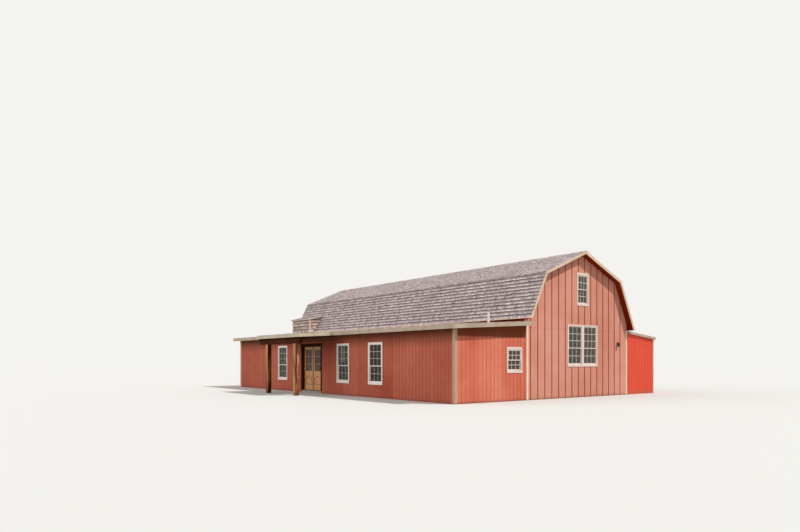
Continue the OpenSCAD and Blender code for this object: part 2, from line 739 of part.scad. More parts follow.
// Dormer box at the rear end of the barn, from the left steep slope down to the wing roof.
// Its front stands at dormer_u from the barn's middle and its roof's top there is at dormer_top.
dormer_u = eave_u + dormer_reach;
dormer_top = eave_z + dormer_h;
// Height of what stands on the wing roof at distance u
function dormer_foot(u) = wing_top(barn_c - u) + seat_gap;
// Distance from the middle where the dormer roof, d below its surface, meets the steep slope
function dormer_meet(d) = (steep_z(-seat_gap, 0) - dormer_top + d - dormer_share * dormer_u)
    / (steep - dormer_share);
function dormer_z(d, u) = dormer_top - d + dormer_share * (dormer_u - u);

module dormer_end() {
    in_u = eave_u + seat_gap;
    polygon([[in_u, dormer_foot(in_u)], [dormer_u, dormer_foot(dormer_u)],
        [dormer_u, dormer_z(dormer_t, dormer_u)],
        [dormer_meet(dormer_t), dormer_z(dormer_t, dormer_meet(dormer_t))],
        [in_u, steep_z(-seat_gap, in_u)]]);
}

module dormer_walls() color("#7f7058") placed() barn_side(-1) {
    y0 = barn_l - dormer_l;
    for (y = [y0, barn_l - dormer_t]) along_y(y, y + dormer_t) dormer_end();
    along_y(y0, barn_l) intersection() {
        dormer_end();
        translate([dormer_u - dormer_t, 0]) square([dormer_t, dormer_top]);
    }
}

module dormer_roof() color("#9b8b88") placed() barn_side(-1)
    along_y(barn_l - dormer_l - dormer_out, barn_l + dormer_out) polygon([
        [dormer_u + dormer_out, dormer_z(dormer_t, dormer_u + dormer_out)],
        [dormer_meet(dormer_t), dormer_z(dormer_t, dormer_meet(dormer_t))],
        [dormer_meet(0), dormer_z(0, dormer_meet(0))],
        [dormer_u + dormer_out, dormer_z(0, dormer_u + dormer_out)]]);

// Vent pipe standing on its flashing on the wing roof, with an open top
module vent_pipe() color("#efece6") placed() translate([vent_x, vent_y, 0]) {
    low = wing_top(vent_x - vent_d) + seat_gap;
    high = wing_top(vent_x + vent_d) + seat_gap;
    along_y(-vent_d, vent_d)
        polygon([[-vent_d, low], [vent_d, high], [vent_d, high + flash_t], [-vent_d, low + flash_t]]);
    translate([0, 0, high]) difference() {
        cylinder(h = vent_h, d = vent_d);
        translate([0, 0, vent_d]) cylinder(h = vent_h, d = vent_d - 2 * vent_wall);
    }
}

// Wall lamp: a back plate, an arm and a turned cage with a cap
module wall_lamp() color("#2b2622") placed() translate([barn_x1 - lamp_in, 0, lamp_z]) {
    block([-lamp_plate_w / 2, -lamp_plate_t, -lamp_plate_h / 2], [lamp_plate_w / 2, 0, lamp_plate_h / 2]);
    block([-lamp_arm / 2, -lamp_out, -lamp_arm / 2], [lamp_arm / 2, 0, lamp_arm / 2]);
    translate([0, -lamp_out, 0]) rotate_extrude() polygon(lamp_profile);
}

floor_slab();
loft_floor();
placed() wing_wall(wall_t, door_y0);  // wing_side_wall_near
placed() wing_wall(door_y1, barn_l - wall_t);  // wing_side_wall_far
placed() color("#a5554a") along_y(door_y0, door_y1) wing_wall_section(head_z + door_jamb);  // wing_door_header
placed() wing_end_wall();  // wing_front_wall
placed() translate([0, barn_l - wall_t, 0]) wing_end_wall();  // wing_rear_wall
placed() gable_wall();  // front_gable_wall
placed() translate([0, barn_l - wall_t, 0]) gable_wall();  // rear_gable_wall
placed() lean_end_wall();  // lean_to_front_wall
placed() translate([0, barn_l - wall_t, 0]) lean_end_wall();  // lean_to_rear_wall
placed() color("#e4583f") along_y(wall_t, barn_l - wall_t) polygon([  // lean_to_side_wall
        [all_x1 - wall_t, 0], [all_x1, 0], [all_x1, lean_under(all_x1)],
        [all_x1 - wall_t, lean_under(all_x1 - wall_t)]]);
placed() post_row(-1);  // barn_posts_left
placed() post_row(1);  // barn_posts_right
placed() side_band(-1);  // side_band_left
placed() side_band(1);  // side_band_right
roof_frames();
placed() roof_steep(-1);  // roof_lower_left
placed() roof_shallow(-1);  // roof_upper_left
placed() roof_shallow(1);  // roof_upper_right
placed() roof_steep(1);  // roof_lower_right
ridge_cap();
wing_roof();
lean_to_roof();
rake_boards();
fascia_boards();
corner_boards();
window_casings();
window_sashes();
side_glass(0, door_y0);  // side_glass_near
side_glass(door_y1, barn_l);  // side_glass_far
color("#5b5a4a") placed() end_glass();  // front_glass
color("#5b5a4a") placed() translate([0, barn_l, 0]) mirror([0, 1, 0]) end_glass();  // rear_glass
entry_door_frame();
color("#a97440") placed() in_doorway(1) door_leaf();  // door_leaf_left
color("#a97440") placed() in_doorway(-1) door_leaf();  // door_leaf_right
color("#4d4322") placed() in_doorway(1) leaf_pane();  // door_glass_left
color("#4d4322") placed() in_doorway(-1) leaf_pane();  // door_glass_right
door_knob();
porch_posts();
porch_frame();
porch_roof();
dormer_walls();
dormer_roof();
vent_pipe();
wall_lamp();
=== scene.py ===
"""Looks of the gambrel barn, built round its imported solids.

Every new piece is an array of closed lofts, worked out with numpy on planes that follow the walls and
roofs. A plane is (origin, along, up, out): a point is origin + h * along + s * up + d * out.
"""

import json
import math

import bpy
import numpy as np
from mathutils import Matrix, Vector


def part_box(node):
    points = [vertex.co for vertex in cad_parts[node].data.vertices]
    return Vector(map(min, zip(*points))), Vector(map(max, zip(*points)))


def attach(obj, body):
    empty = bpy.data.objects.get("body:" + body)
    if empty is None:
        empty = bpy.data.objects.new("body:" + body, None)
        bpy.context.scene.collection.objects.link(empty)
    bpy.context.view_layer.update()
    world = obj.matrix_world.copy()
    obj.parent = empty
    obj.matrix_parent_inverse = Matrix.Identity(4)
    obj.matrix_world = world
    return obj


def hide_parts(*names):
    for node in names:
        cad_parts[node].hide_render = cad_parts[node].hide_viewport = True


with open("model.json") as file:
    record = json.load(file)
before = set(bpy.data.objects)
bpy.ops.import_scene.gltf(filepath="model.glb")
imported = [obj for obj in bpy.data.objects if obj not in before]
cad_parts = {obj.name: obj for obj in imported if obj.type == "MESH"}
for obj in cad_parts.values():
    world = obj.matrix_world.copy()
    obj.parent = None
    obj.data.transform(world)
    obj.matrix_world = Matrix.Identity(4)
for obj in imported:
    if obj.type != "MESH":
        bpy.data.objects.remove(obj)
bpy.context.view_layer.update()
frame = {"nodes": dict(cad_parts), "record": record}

# Sizes of the building, in metres. Distances h count from the wing's outer wall face along the ends, and from
# the front wall face along the sides.

# Outer faces of the walls, widths of the wing, the barn and the lean-to, and where the barn and lean-to end
SIDE_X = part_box("wing_side_wall_near")[0].x
FRONT_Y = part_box("wing_front_wall")[0].y
REAR_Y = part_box("wing_rear_wall")[1].y
RIGHT_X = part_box("lean_to_side_wall")[1].x
BARN_X0, BARN_X1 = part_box("front_gable_wall")[0].x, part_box("front_gable_wall")[1].x
LENGTH = REAR_Y - FRONT_Y
WING_W, BARN_W, LEAN_W = BARN_X0 - SIDE_X, BARN_X1 - BARN_X0, RIGHT_X - BARN_X1
BARN_C = WING_W + BARN_W / 2
BARN_END = WING_W + BARN_W
LEAN_END = BARN_END + LEAN_W
MIDDLE_X = SIDE_X + BARN_C
# Thickness of the trim, width of a corner board, height of the cladding's foot, and height of a fascia
TRIM, CORNER, FOOT, FASCIA = 0.022, 0.11, 0.02, 0.15
# Windows: width of the casing, height of the sill board, width of the jamb and the sash, thickness of a sash
CASING, SILL = 0.06, 0.09
JAMB, SASH, SASH_T = 0.014, 0.034, 0.032
# How far the upper sash's face stands out of the wall's face, and half the thickness of the glass
SASH_FACE, GLASS = 0.006, 0.003
# Barn roof: half its width and its height at the eaves and at the knees, height of the ridge, thickness, and
# how far it reaches out past the gable walls
EAVE_U, EAVE_Z = BARN_W / 2 + 0.085, 3.17
KNEE_U, KNEE_Z = 2.48, 4.96
RIDGE_Z, ROOF_T, GABLE_OUT = 6.0, 0.12, 0.25
STEEP = (KNEE_Z - EAVE_Z) / (EAVE_U - KNEE_U)
SHALLOW = (RIDGE_Z - KNEE_Z) / KNEE_U
# How much lower the right eave stands, just above the lean-to's roof
EAVE_DROP = EAVE_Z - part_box("roof_lower_right")[0].z - ROOF_T / math.hypot(1, STEEP)
# Wing roof: reach past the side wall, height over that wall's face, rise up to the barn, and thickness
WING_OUT, WING_Z, WING_RISE, WING_T = 0.3, 2.777, 0.213, 0.11
# Lean-to roof: reach past its side wall, height at the barn, fall down to that wall's face, and thickness
LEAN_OUT, LEAN_Z, LEAN_FALL, LEAN_T = 0.06, 2.82, 0.228, 0.08
# Porch roof: reach past the side wall, and distances of its ends from the front wall face
PORCH_OUT, PORCH_Y0, PORCH_Y1 = 1.9, 7.7, 11.8
# Dormer: length, height of its front over the barn's eave, slope, thickness, distance of its front from the
# barn's middle, and reach of its roof
DORMER_L, DORMER_H, DORMER_SLOPE, DORMER_T = 2.2, 0.78, 0.25, 0.06
DORMER_U, DORMER_OUT = EAVE_U + 0.28, 0.08
# Door leaves: height of the bottom rail and of the lower panel, and width of a stile
DOOR_KICK, DOOR_PANEL, DOOR_STILE = 0.25, 0.4, 0.11
# Gap between the cladding's top and a roof's underside, how deep a piece beds in what carries it, and how far
# neighbouring pieces stay apart
UNDER, BED, APART = 0.002, 0.001, 0.001

# Windows of each wall: middle, bottom, width, height, height of the meeting rail, height of the head board,
# panes across, and rows of panes in the upper and in the lower sash
TALL = (0.88, 1.585, 0.67, 0.045, 3, 3, 2)
SIDE_WINDOWS = [(y, 0.62, *TALL) for y in (4.77, 7.215, 12.905)]
GABLE_WINDOWS = [(6.62, 1.35, *TALL), (7.62, 1.35, *TALL),
                 (7.12, 3.86, 0.65, 1.175, 0.5875, 0.095, 3, 2, 2)]
WING_WINDOWS = [(2.99, 1.135, 0.72, 0.79, 0.395, 0.095, 3, 2, 2)]


# Planes
def plane(origin, along, up, out):
    """A plane's four vectors as arrays, with the three directions at unit length."""
    axes = [np.array(v, float) / np.linalg.norm(v) for v in (along, up, out)]
    return (np.array(origin, float), *axes)


def upright(x, y, z, along, out):
    """An upright plane whose origin is (x, y, z)."""
    return plane((x, y, z), along, (0, 0, 1), out)


def slope(x0, z0, x1, z1):
    """Plane on a roof's upper face that runs up from (x0, z0) to (x1, z1), and its length."""
    run = np.array([x1 - x0, 0, z1 - z0], float)
    out = np.array([-run[2], 0, run[0]]) * np.sign(run[0])
    return plane((x0, FRONT_Y, z0), (0, 1, 0), run, out), float(np.linalg.norm(run))


def on(face, h, s, d):
    """Points origin + h * along + s * up + d * out of a plane, for arrays or numbers h, s and d."""
    h, s, d = np.broadcast_arrays(*(np.asarray(v, float) for v in (h, s, d)))
    return face[0] + h[..., None] * face[1] + s[..., None] * face[2] + d[..., None] * face[3]


ENDS = (("front", upright(SIDE_X, FRONT_Y, 0, (1, 0, 0), (0, -1, 0))),
        ("rear", upright(SIDE_X, REAR_Y, 0, (1, 0, 0), (0, 1, 0))))
LEFT = upright(SIDE_X, FRONT_Y, 0, (0, 1, 0), (-1, 0, 0))
RIGHT = upright(RIGHT_X, FRONT_Y, 0, (0, 1, 0), (1, 0, 0))


# Meshes
def placed(name, data):
    """New object of that data, in the scene."""
    thing = bpy.data.objects.new(name, data)
    bpy.context.scene.collection.objects.link(thing)
    return thing


def lofts(name, rings, finish, slot, body="building", closed=False, **marks):
    """Mesh of N closed solids, each a skin over M rings of K points, from an array (N, M, K, 3).

    Neighbouring rings join by quads, and the end rings are capped, or join each other where closed is set.
    A solid whose signed volume (a sixth of the sum of triple products) is negative is turned outwards.
    Each mark is an array that broadcasts to (N, M, K), kept as a point attribute for the finish to read.
    """
    rings = np.asarray(rings, float)
    n, m, k = rings.shape[:3]
    index = np.arange(n * m * k).reshape(n, m, k)
    here, there = (index, np.roll(index, -1, 1)) if closed else (index[:, :-1], index[:, 1:])
    quads = np.stack([here, np.roll(here, -1, 2), np.roll(there, -1, 2), there], -1).reshape(n, -1, 4)
    points = rings.reshape(-1, 3)
    local = points - np.repeat(rings.reshape(n, -1, 3).mean(1), m * k, 0)
    a, b, c, d = (local[quads[..., j]] for j in range(4))
    volume = (np.cross(a, b) * c).sum((1, 2)) + (np.cross(a, c) * d).sum((1, 2))
    caps = np.zeros((n, 0, k), int)
    if not closed:
        caps = np.stack([index[:, 0, ::-1], index[:, -1]], 1)
        fan = local[caps]
        first = fan[:, :, :1]
        volume += (np.cross(first, fan[:, :, 1:-1]) * fan[:, :, 2:]).sum((1, 2, 3))
    turned = volume < 0
    quads[turned] = quads[turned][..., ::-1]
    caps[turned] = caps[turned][..., ::-1]
    mesh = bpy.data.meshes.new(name)
    mesh.from_pydata(points.tolist(), [], quads.reshape(-1, 4).tolist() + caps.reshape(-1, k).tolist())
    for mark, values in marks.items():
        layer = mesh.attributes.new(mark, "FLOAT", "POINT")
        layer.data.foreach_set("value", np.broadcast_to(values, (n, m, k)).astype(np.float32).ravel())
    mesh.materials.append(finish)
    mesh.update()
    piece = placed(name, mesh)
    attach(piece, body)
    return piece


def soften(piece, width=0.002):
    """Rounds the piece's edges sharper than 35 degrees with a bevel of that width."""
    bevel = piece.modifiers.new("rounded", "BEVEL")
    bevel.width, bevel.segments = width, 1
    bevel.limit_method, bevel.angle_limit = "ANGLE", math.radians(35)
    bevel.use_clamp_overlap = True


def box_rings(face, h0, h1, s0, s1, d0, d1):
    """Boxes on a plane between arrays of limits, as two rings of four points: (N, 2, 4, 3)."""
    limits = np.broadcast_arrays(*(np.asarray(v, float).ravel() for v in (h0, h1, s0, s1, d0, d1)))
    h0, h1, s0, s1, d0, d1 = limits
    h = np.stack([h0, h1, h1, h0], -1)[:, None]
    s = np.stack([s0, s0, s1, s1], -1)[:, None]
    d = np.stack([d0, d1], -1)[:, :, None]
    return on(face, h, s, d)


def cut_spans(spans, low, top, holes, bends=()):
    """Upright strips (h0, h1, bottom at both, top at h0, top at h1) of the spans, outside the holes.

    A span is cut at the sides of each hole and at each bend of the top line, and the height of each part
    is what the holes over its middle leave between low and top(h). Under a steep line a strip may come to a
    point: where its lower top corner would be a little below its bottom, it is raised to it.
    """
    same, least, dip = 1e-4, 0.01, 0.02
    strips = []
    for h0, h1 in spans:
        edges = {e for hole in holes for e in hole[:2]} | set(bends)
        cuts = [h0, *sorted(e for e in edges if h0 + same < e < h1 - same), h1]
        for p, q in zip(cuts, cuts[1:]):
            over = sorted(hole[2:] for hole in holes if hole[0] < (p + q) / 2 < hole[1])
            bottom = low
            for z0, z1 in over:
                if z0 - bottom > least:
                    strips.append((p, q, bottom, z0, z0))
                bottom = max(bottom, z1)
            if min(top(p), top(q)) - bottom > -dip:
                strips.append((p, q, bottom, max(top(p), bottom), max(top(q), bottom)))
    return np.array(strips)


def clad(name, face, spans, low, top, holes, depth, finish, slot, bends=(), sheet=1, seed=0):
    """Upright boards on a wall between the limits of depth, each strip of cut_spans one closed block.

    Boards of one plywood sheet share most of their tone: three quarters are drawn per sheet, the rest per
    board.
    """
    shared = 0.75
    strips = cut_spans(spans, low, top, holes, bends)
    h0, h1, z0, t0, t1 = strips.T
    h = np.stack([h0, h1, h1, h0], -1)[:, None]
    s = np.stack([z0, z0, t1, t0], -1)[:, None]
    rings = on(face, h, s, np.array(depth, float)[None, :, None])
    owners = np.searchsorted(np.array([p for p, _ in spans]), h0 + 1e-5)
    drawn = np.random.default_rng(seed).random((2, len(spans) + 2))
    tones = shared * drawn[0, owners // sheet] + (1 - shared) * drawn[1, owners]
    return lofts(name, rings, finish, slot, tone=tones[:, None, None])


# Half the joint between two tabs, thickness of a tab's head, and the least width and height of a tab
TAB_JOINT, TAB_HEAD, TAB_LEAST = 0.002, 0.002, (0.02, 0.015)


def shingles(name, face, start, end, low, high, finish, slot, seed, course=0.162, widths=(0.1, 0.26),
             butt=0.022, lap=0.03, ragged=0.014, ends=None, tops=None):
    """Courses of tabs on a plane, from low to high up the slope and from start to end along it.

    Course i starts at low + i * course, and each tab lies on it as a wedge: its face stands up to butt out
    at its lower edge and TAB_HEAD out at its head, which the next course covers by lap. Widths and
    raggedness are drawn for whole courses at once, and thickness for the tabs that are kept. ends(s) gives
    the far end at height s, and tops(h) the line that no tab may pass. The last mark is 1 at a tab's lower
    edge, which gets a painted highlight, and 0 at its head, which gets painted shade under the next course.
    """
    rng = np.random.default_rng(seed)
    rows = math.ceil((high - low) / course)
    count = math.ceil((end - start) / widths[0]) + 2
    wide = rng.uniform(*widths, (rows, count))
    left = start + np.cumsum(wide, 1) - wide - rng.uniform(0, widths[0], (rows, 1))
    right = left + wide
    foot = low + np.arange(rows)[:, None] * course + rng.uniform(0, ragged, (rows, count))
    foot[0] = low
    head = np.minimum(low + (np.arange(rows)[:, None] + 1) * course + lap, high) + 0 * foot
    limit = end if ends is None else np.minimum(end, ends(foot))
    left, right = np.maximum(left, start), np.minimum(right, limit)
    keep = (right - left > TAB_LEAST[0]) & (head - foot > TAB_LEAST[1])
    left, right, foot, head = (v[keep] for v in (left + TAB_JOINT, right - TAB_JOINT, foot, head))
    thick = butt * rng.uniform(0.75, 1.0, len(left))
    h = np.stack([left, right, right, left], -1)
    s = np.stack([foot, foot, head, head], -1)
    if tops is not None:
        s = np.minimum(s, tops(h))
    if ends is not None:
        h = np.minimum(h, ends(s))
    rise = np.stack([thick, thick, 0 * thick + TAB_HEAD, 0 * thick + TAB_HEAD], -1)
    rings = on(face, h[:, None], s[:, None], np.stack([rise * 0 - BED, rise], 1))
    tones = rng.random(len(left))[:, None, None]
    lofts(name, rings, finish, slot, tone=tones, wear=np.array([1.0, 1.0, 0.0, 0.0]))


def ribbed(name, face, start, end, low, high, finish, slot, ribs=5, pitch=0.19, tall=0.019):
    """Sheets of ribbed metal on a plane: a profile across the ribs, carried from low(h) to high(h).

    The profile is (share of the pitch, height): flat, with two low beads and then a trapezoid of height
    tall. The back of each sheet lies on the plane.
    """
    flat, bead, joint = 0.001, 0.004, 0.0005
    sheets = max(1, round((end - start) / (ribs * pitch)))
    step = (end - start) / (sheets * ribs)
    rib = np.array([(0.0, flat), (0.30, flat), (0.32, bead), (0.36, bead), (0.38, flat), (0.62, flat),
                    (0.64, bead), (0.68, bead), (0.70, flat), (0.84, flat), (0.89, tall), (0.95, tall)])
    at = (np.arange(ribs)[:, None] + rib[:, 0]).ravel() * step
    at, out = np.append(at, ribs * step - joint), np.append(np.tile(rib[:, 1], ribs), flat)
    base = start + np.arange(sheets)[:, None] * ribs * step
    h = base + np.concatenate([at, at[::-1]])
    d = np.concatenate([out, 0 * out])[None] + 0 * h
    lofts(name, np.stack([on(face, h, low(h), d), on(face, h, high(h), d)], 1), finish, slot)


# Depths of the back and the face of glazing bars in front of the pane, unlike so that no two faces meet
UPRIGHT_BAR, LEVEL_BAR = (0.0006, 0.006), (0.0009, 0.0055)


def bars(name, face, windows, half):
    """Glazing bars of both sashes of each window: a grid of flat strips on the glass, half wide each way."""
    limits = []
    edge = JAMB + SASH
    for c, z0, w, h, rail, _, across, *rows in windows:
        x0, x1 = c - w / 2 + edge, c + w / 2 - edge
        panes = ((z0 + rail + SASH / 2, z0 + h - edge), (z0 + edge, z0 + rail - SASH / 2))
        for (low, high), up, sash in zip(panes, rows, (0.5, 1.5)):
            pane = SASH_FACE - SASH_T * sash + GLASS
            for x in np.linspace(x0, x1, across + 1)[1:-1]:
                limits.append((x - half, x + half, low, high, *(pane + d for d in UPRIGHT_BAR)))
            for z in np.linspace(low, high, up + 1)[1:-1]:
                limits.append((x0, x1, z - half, z + half, *(pane + d for d in LEVEL_BAR)))
    lofts(name, box_rings(face, *np.array(limits).T), window_paint, "window_paint")


def rectangle(h0, h1, s0, s1):
    """Outline of a rectangle, as a function of how far it is set out."""
    return lambda o: np.array([[h0 - o, s0 - o], [h1 + o, s0 - o], [h1 + o, s1 + o], [h0 - o, s1 + o]])


def arched(h0, h1, s0, s1, share=0.2, points=19):
    """Outline of a rectangle with a round head that rises by a share of its width, as such a function.

    The head is a circle's arc through both shoulders and the top, whose radius grows with the outset.
    """
    half, rise = (h1 - h0) / 2, (h1 - h0) * share
    radius = (half ** 2 + rise ** 2) / (2 * rise)

    def outline(o):
        reach = math.asin((half + o) / (radius + o))
        turn = np.linspace(reach, -reach, points)
        across, up = (radius + o) * np.sin(turn), (radius + o) * np.cos(turn)
        arc = np.stack([h0 + half + across, s1 - radius + up], -1)
        return np.concatenate([[[h0 - o, s0 - o], [h1 + o, s0 - o]], arc])
    return outline


def sawn_timber(name, centre, half, low, high, seed, front, side):
    """Upright square timber: a rounded square carried up its axis, with sawing waves and drying checks.

    The section is |x|^power + |y|^power = half^power. Sines wave its face, 9 to a turn and 7 and 31 radians
    to a metre of height, and each check is a narrow groove that wanders by 0.05 radians and fades along the
    height. Both ends are worn thinner. Its tone mark is front, and side on the face to the left, which paint
    light and shade on those faces.
    """
    power, around, along = 14, 96, 60
    wave, checks, check_depth, check_angle, check_length = 0.0008, 9, 0.007, 0.03, 0.5
    worn, worn_length = 0.004, 0.01
    rng = np.random.default_rng(seed)
    t = (np.arange(around) + 0.5) / around * 2 * math.pi
    z = np.linspace(low, high, along)
    cos, sin = np.cos(t), np.sin(t)
    radius = half / (np.abs(cos) ** power + np.abs(sin) ** power) ** (1 / power)
    radius = radius[None] + 0 * z[:, None]
    radius -= wave * (1 + np.sin(t * 9 + z[:, None] * 7 + seed) * np.cos(z[:, None] * 31))
    for angle, middle in zip(rng.uniform(0, 2 * math.pi, checks), rng.uniform(low, high, checks)):
        path = angle + 0.05 * np.sin(z * 2.3 + angle)
        away = (t[None] - path[:, None] + math.pi) % (2 * math.pi) - math.pi
        fade = np.exp(-(((z - middle) / check_length) ** 2))[:, None]
        radius -= check_depth * np.exp(-(away / check_angle) ** 2) * fade
    radius -= worn * np.exp(-(np.minimum(z - low, high - z)[:, None] / worn_length))
    points = np.stack([centre[0] + radius * cos, centre[1] + radius * sin, z[:, None] + 0 * radius], -1)
    # Painted light and shade: the front face takes one tone and the left face another
    tones = front + (side - front) * np.clip((-cos - 0.6) * 8, 0, 1)
    return lofts(name, points[None], post_stain, "porch_wood", tone=tones)


# Finishes

# Output and kind of data of a node that mixes colours
COLOURS = dict(out=2, data_type="RGBA")


def linear(code):
    """Linear colour of an sRGB hex value: v / 12.92 up to 0.04045, and ((v + 0.055) / 1.055) ** 2.4 above."""
    v = np.array([int(code[i:i + 2], 16) for i in (1, 3, 5)]) / 255
    light = np.where(v <= 0.04045, v / 12.92, ((v + 0.055) / 1.055) ** 2.4)
    return (*map(float, light), 1.0)


def add(tree, kind, inputs=(), stops=None, out=0, **settings):
    """Adds a node of a kind with its settings and gives its output out, or the node where out is None.

    Inputs are values, hex colours or links, by name or number, or the first ones in order: for MapRange
    the value, the two ends that it comes from and the two that it goes to. Stops are a ramp's (place, hex
    colour). A noise's Scale is how often it repeats in a metre: 80 gives blotches of about 12 mm.
    """
    node = tree.nodes.new("ShaderNode" + kind)
    for key, value in settings.items():
        setattr(node, key, value)
    for key, value in inputs.items() if isinstance(inputs, dict) else enumerate(inputs):
        if isinstance(value, bpy.types.NodeSocket):
            tree.links.new(value, node.inputs[key])
        else:
            node.inputs[key].default_value = linear(value) if isinstance(value, str) else value
    if stops:
        ramp = node.color_ramp
        while len(ramp.elements) < len(stops):
            ramp.elements.new(0.5)
        for element, (at, code) in zip(ramp.elements, stops):
            element.position = at
            element.color = linear(code)
    return node if out is None else node.outputs[out]


def surface(name, **inputs):
    """Empty material with one Principled shader, as material, tree, shader and Object coordinates."""
    material = bpy.data.materials.new(name)
    material.use_nodes = True
    tree = material.node_tree
    tree.nodes.clear()
    shader = add(tree, "BsdfPrincipled", {k.replace("_", " "): v for k, v in inputs.items()}, out=None)
    add(tree, "OutputMaterial", {"Surface": shader.outputs["BSDF"]}, out=None)
    return material, tree, shader, add(tree, "TexCoord", out="Object")


def dress(material, shader, colour, relief, strength, depth):
    """The material with a colour, where it varies, and with bumps of up to depth metres from a pattern."""
    tree = material.node_tree
    if colour is not None:
        tree.links.new(colour, shader.inputs["Base Color"])
    bump = add(tree, "Bump", {"Strength": strength, "Distance": depth, "Height": relief})
    tree.links.new(bump, shader.inputs["Normal"])
    return material


def soiled_foot(tree, place, colour, soil, foot, most, scale):
    """The colour with soil splashed on it up to foot metres: most of it at a ragged edge, none at foot."""
    height = add(tree, "SeparateXYZ", {"Vector": place}, out="Z")
    splash = add(tree, "TexNoise", {"Vector": place, "Scale": scale, "Detail": 5.0})
    edge = add(tree, "Math", (splash, foot, -foot / 4), operation="MULTIPLY_ADD")
    share = add(tree, "MapRange", (height, edge, foot, most, 0.0))
    return add(tree, "Mix", {0: share, 6: colour, 7: soil}, **COLOURS)


def painted_eave_shade(tree, place, fine, colour, start, full, dark):
    """The colour darkened by painted shade from start to full metres, along an edge that waves up to 60 mm.
    """
    height = add(tree, "SeparateXYZ", {"Vector": place}, out="Z")
    wavy = add(tree, "TexNoise", {"Vector": fine, "Scale": 0.35, "Detail": 3.0})
    edge = add(tree, "Math", (wavy, 0.06, height), operation="MULTIPLY_ADD")
    share = add(tree, "MapRange", (edge, start, full, 0.0, 0.88))
    return add(tree, "Mix", {0: share, 6: colour, 7: dark}, **COLOURS)


def stained_wood(name, light, mid, dark, grain, rough=0.78, bend=1.3, fibre=0.9, board=0.35, patch=0.7,
                 relief=0.3, foot=0.0, eave_shade=None):
    """Wood under a stain or varnish, coloured by 0.5 plus the weighted deviations of three values from 0.5.

    The values are the fibres (noise that repeats every grain metres along x, y and z), the board's tone
    mark, and patches a metre or two wide where it has faded. Soil is splashed on it up to foot metres.
    A band of painted shade under a roof, given as (start, full, colour) in the last argument, darkens the
    boards.
    """
    material, tree, shader, place = surface(name, Roughness=rough, IOR=bend)
    fine = add(tree, "Mapping", {"Vector": place, "Scale": tuple(1 / g for g in grain)})
    fibres = add(tree, "TexNoise", {"Vector": fine, "Scale": 1.0, "Detail": 4.0, "Roughness": 0.6})
    tones = add(tree, "Attribute", out="Fac", attribute_name="tone")
    patches = add(tree, "TexNoise", {"Vector": place, "Scale": 0.7, "Detail": 3.0})
    mixed = 0.5 - (fibre + board + patch) / 2
    for value, weight in ((fibres, fibre), (tones, board), (patches, patch)):
        mixed = add(tree, "Math", (value, weight, mixed), operation="MULTIPLY_ADD")
    colour = add(tree, "ValToRGB", {"Fac": mixed}, [(0.2, dark), (0.5, mid), (0.8, light)])
    if foot:
        colour = soiled_foot(tree, place, colour, "#6B4A38", foot, 0.35, 5.0)
    # Painted shade: a dark band under the eave
    if eave_shade:
        colour = painted_eave_shade(tree, place, fine, colour, *eave_shade)
    return dress(material, shader, colour, fibres, relief, 0.002)


def roof_tabs(name, colours, grime_and_shade, pale):
    """Weathered shingles: a colour per tab, blotches for granules or fibres, and a painted highlight.

    Where the edge mark is high, the tab's lower edge gets a painted highlight in streaks, and where it is
    low, a line of painted shade lies under the next course. Grime lies in patches too.
    """
    material, tree, shader, place = surface(name, Roughness=0.92)
    tab = add(tree, "Attribute", out="Fac", attribute_name="tone")
    worn = add(tree, "Attribute", out="Fac", attribute_name="wear")
    colour = add(tree, "ValToRGB", {"Fac": tab}, list(zip(np.linspace(0, 1, len(colours)), colours)))
    # Granules are about 2 mm across and drawn at 12 mm, because they would not show
    grit = add(tree, "TexNoise", {"Vector": place, "Scale": 80.0, "Detail": 3.0, "Roughness": 0.7})
    patch = add(tree, "TexNoise", {"Vector": place, "Scale": 0.9, "Detail": 4.0})
    grain = add(tree, "MapRange", (grit, 0.3, 0.7, 0.8, 1.15))
    colour = add(tree, "Mix", {0: 1.0, 6: colour, 7: grain}, blend_type="MULTIPLY", **COLOURS)
    # Painted highlight in streaks on each tab's lower edge
    edge = add(tree, "MapRange", (worn, 0.55, 0.8))
    streaks = add(tree, "TexNoise", {"Vector": place, "Scale": 6.0, "Detail": 3.0, "Roughness": 0.7})
    painted_highlight = add(tree, "MapRange", (streaks, 0.42, 0.62))
    painted_highlight = add(tree, "Math", (painted_highlight, edge), operation="MULTIPLY")
    colour = add(tree, "Mix", {0: painted_highlight, 6: colour, 7: pale}, **COLOURS)
    # Painted shade in a line under the next course, joined with real grime in patches
    under = add(tree, "MapRange", (worn, 0.2, 0.42, 0.9, 0.0))
    stain = add(tree, "MapRange", (patch, 0.5, 0.75, 0.0, 0.2))
    dirt = add(tree, "Math", (under, stain), operation="MAXIMUM")
    colour = add(tree, "Mix", {0: dirt, 6: colour, 7: grime_and_shade}, **COLOURS)
    return dress(material, shader, colour, grit, 0.5, 0.002)


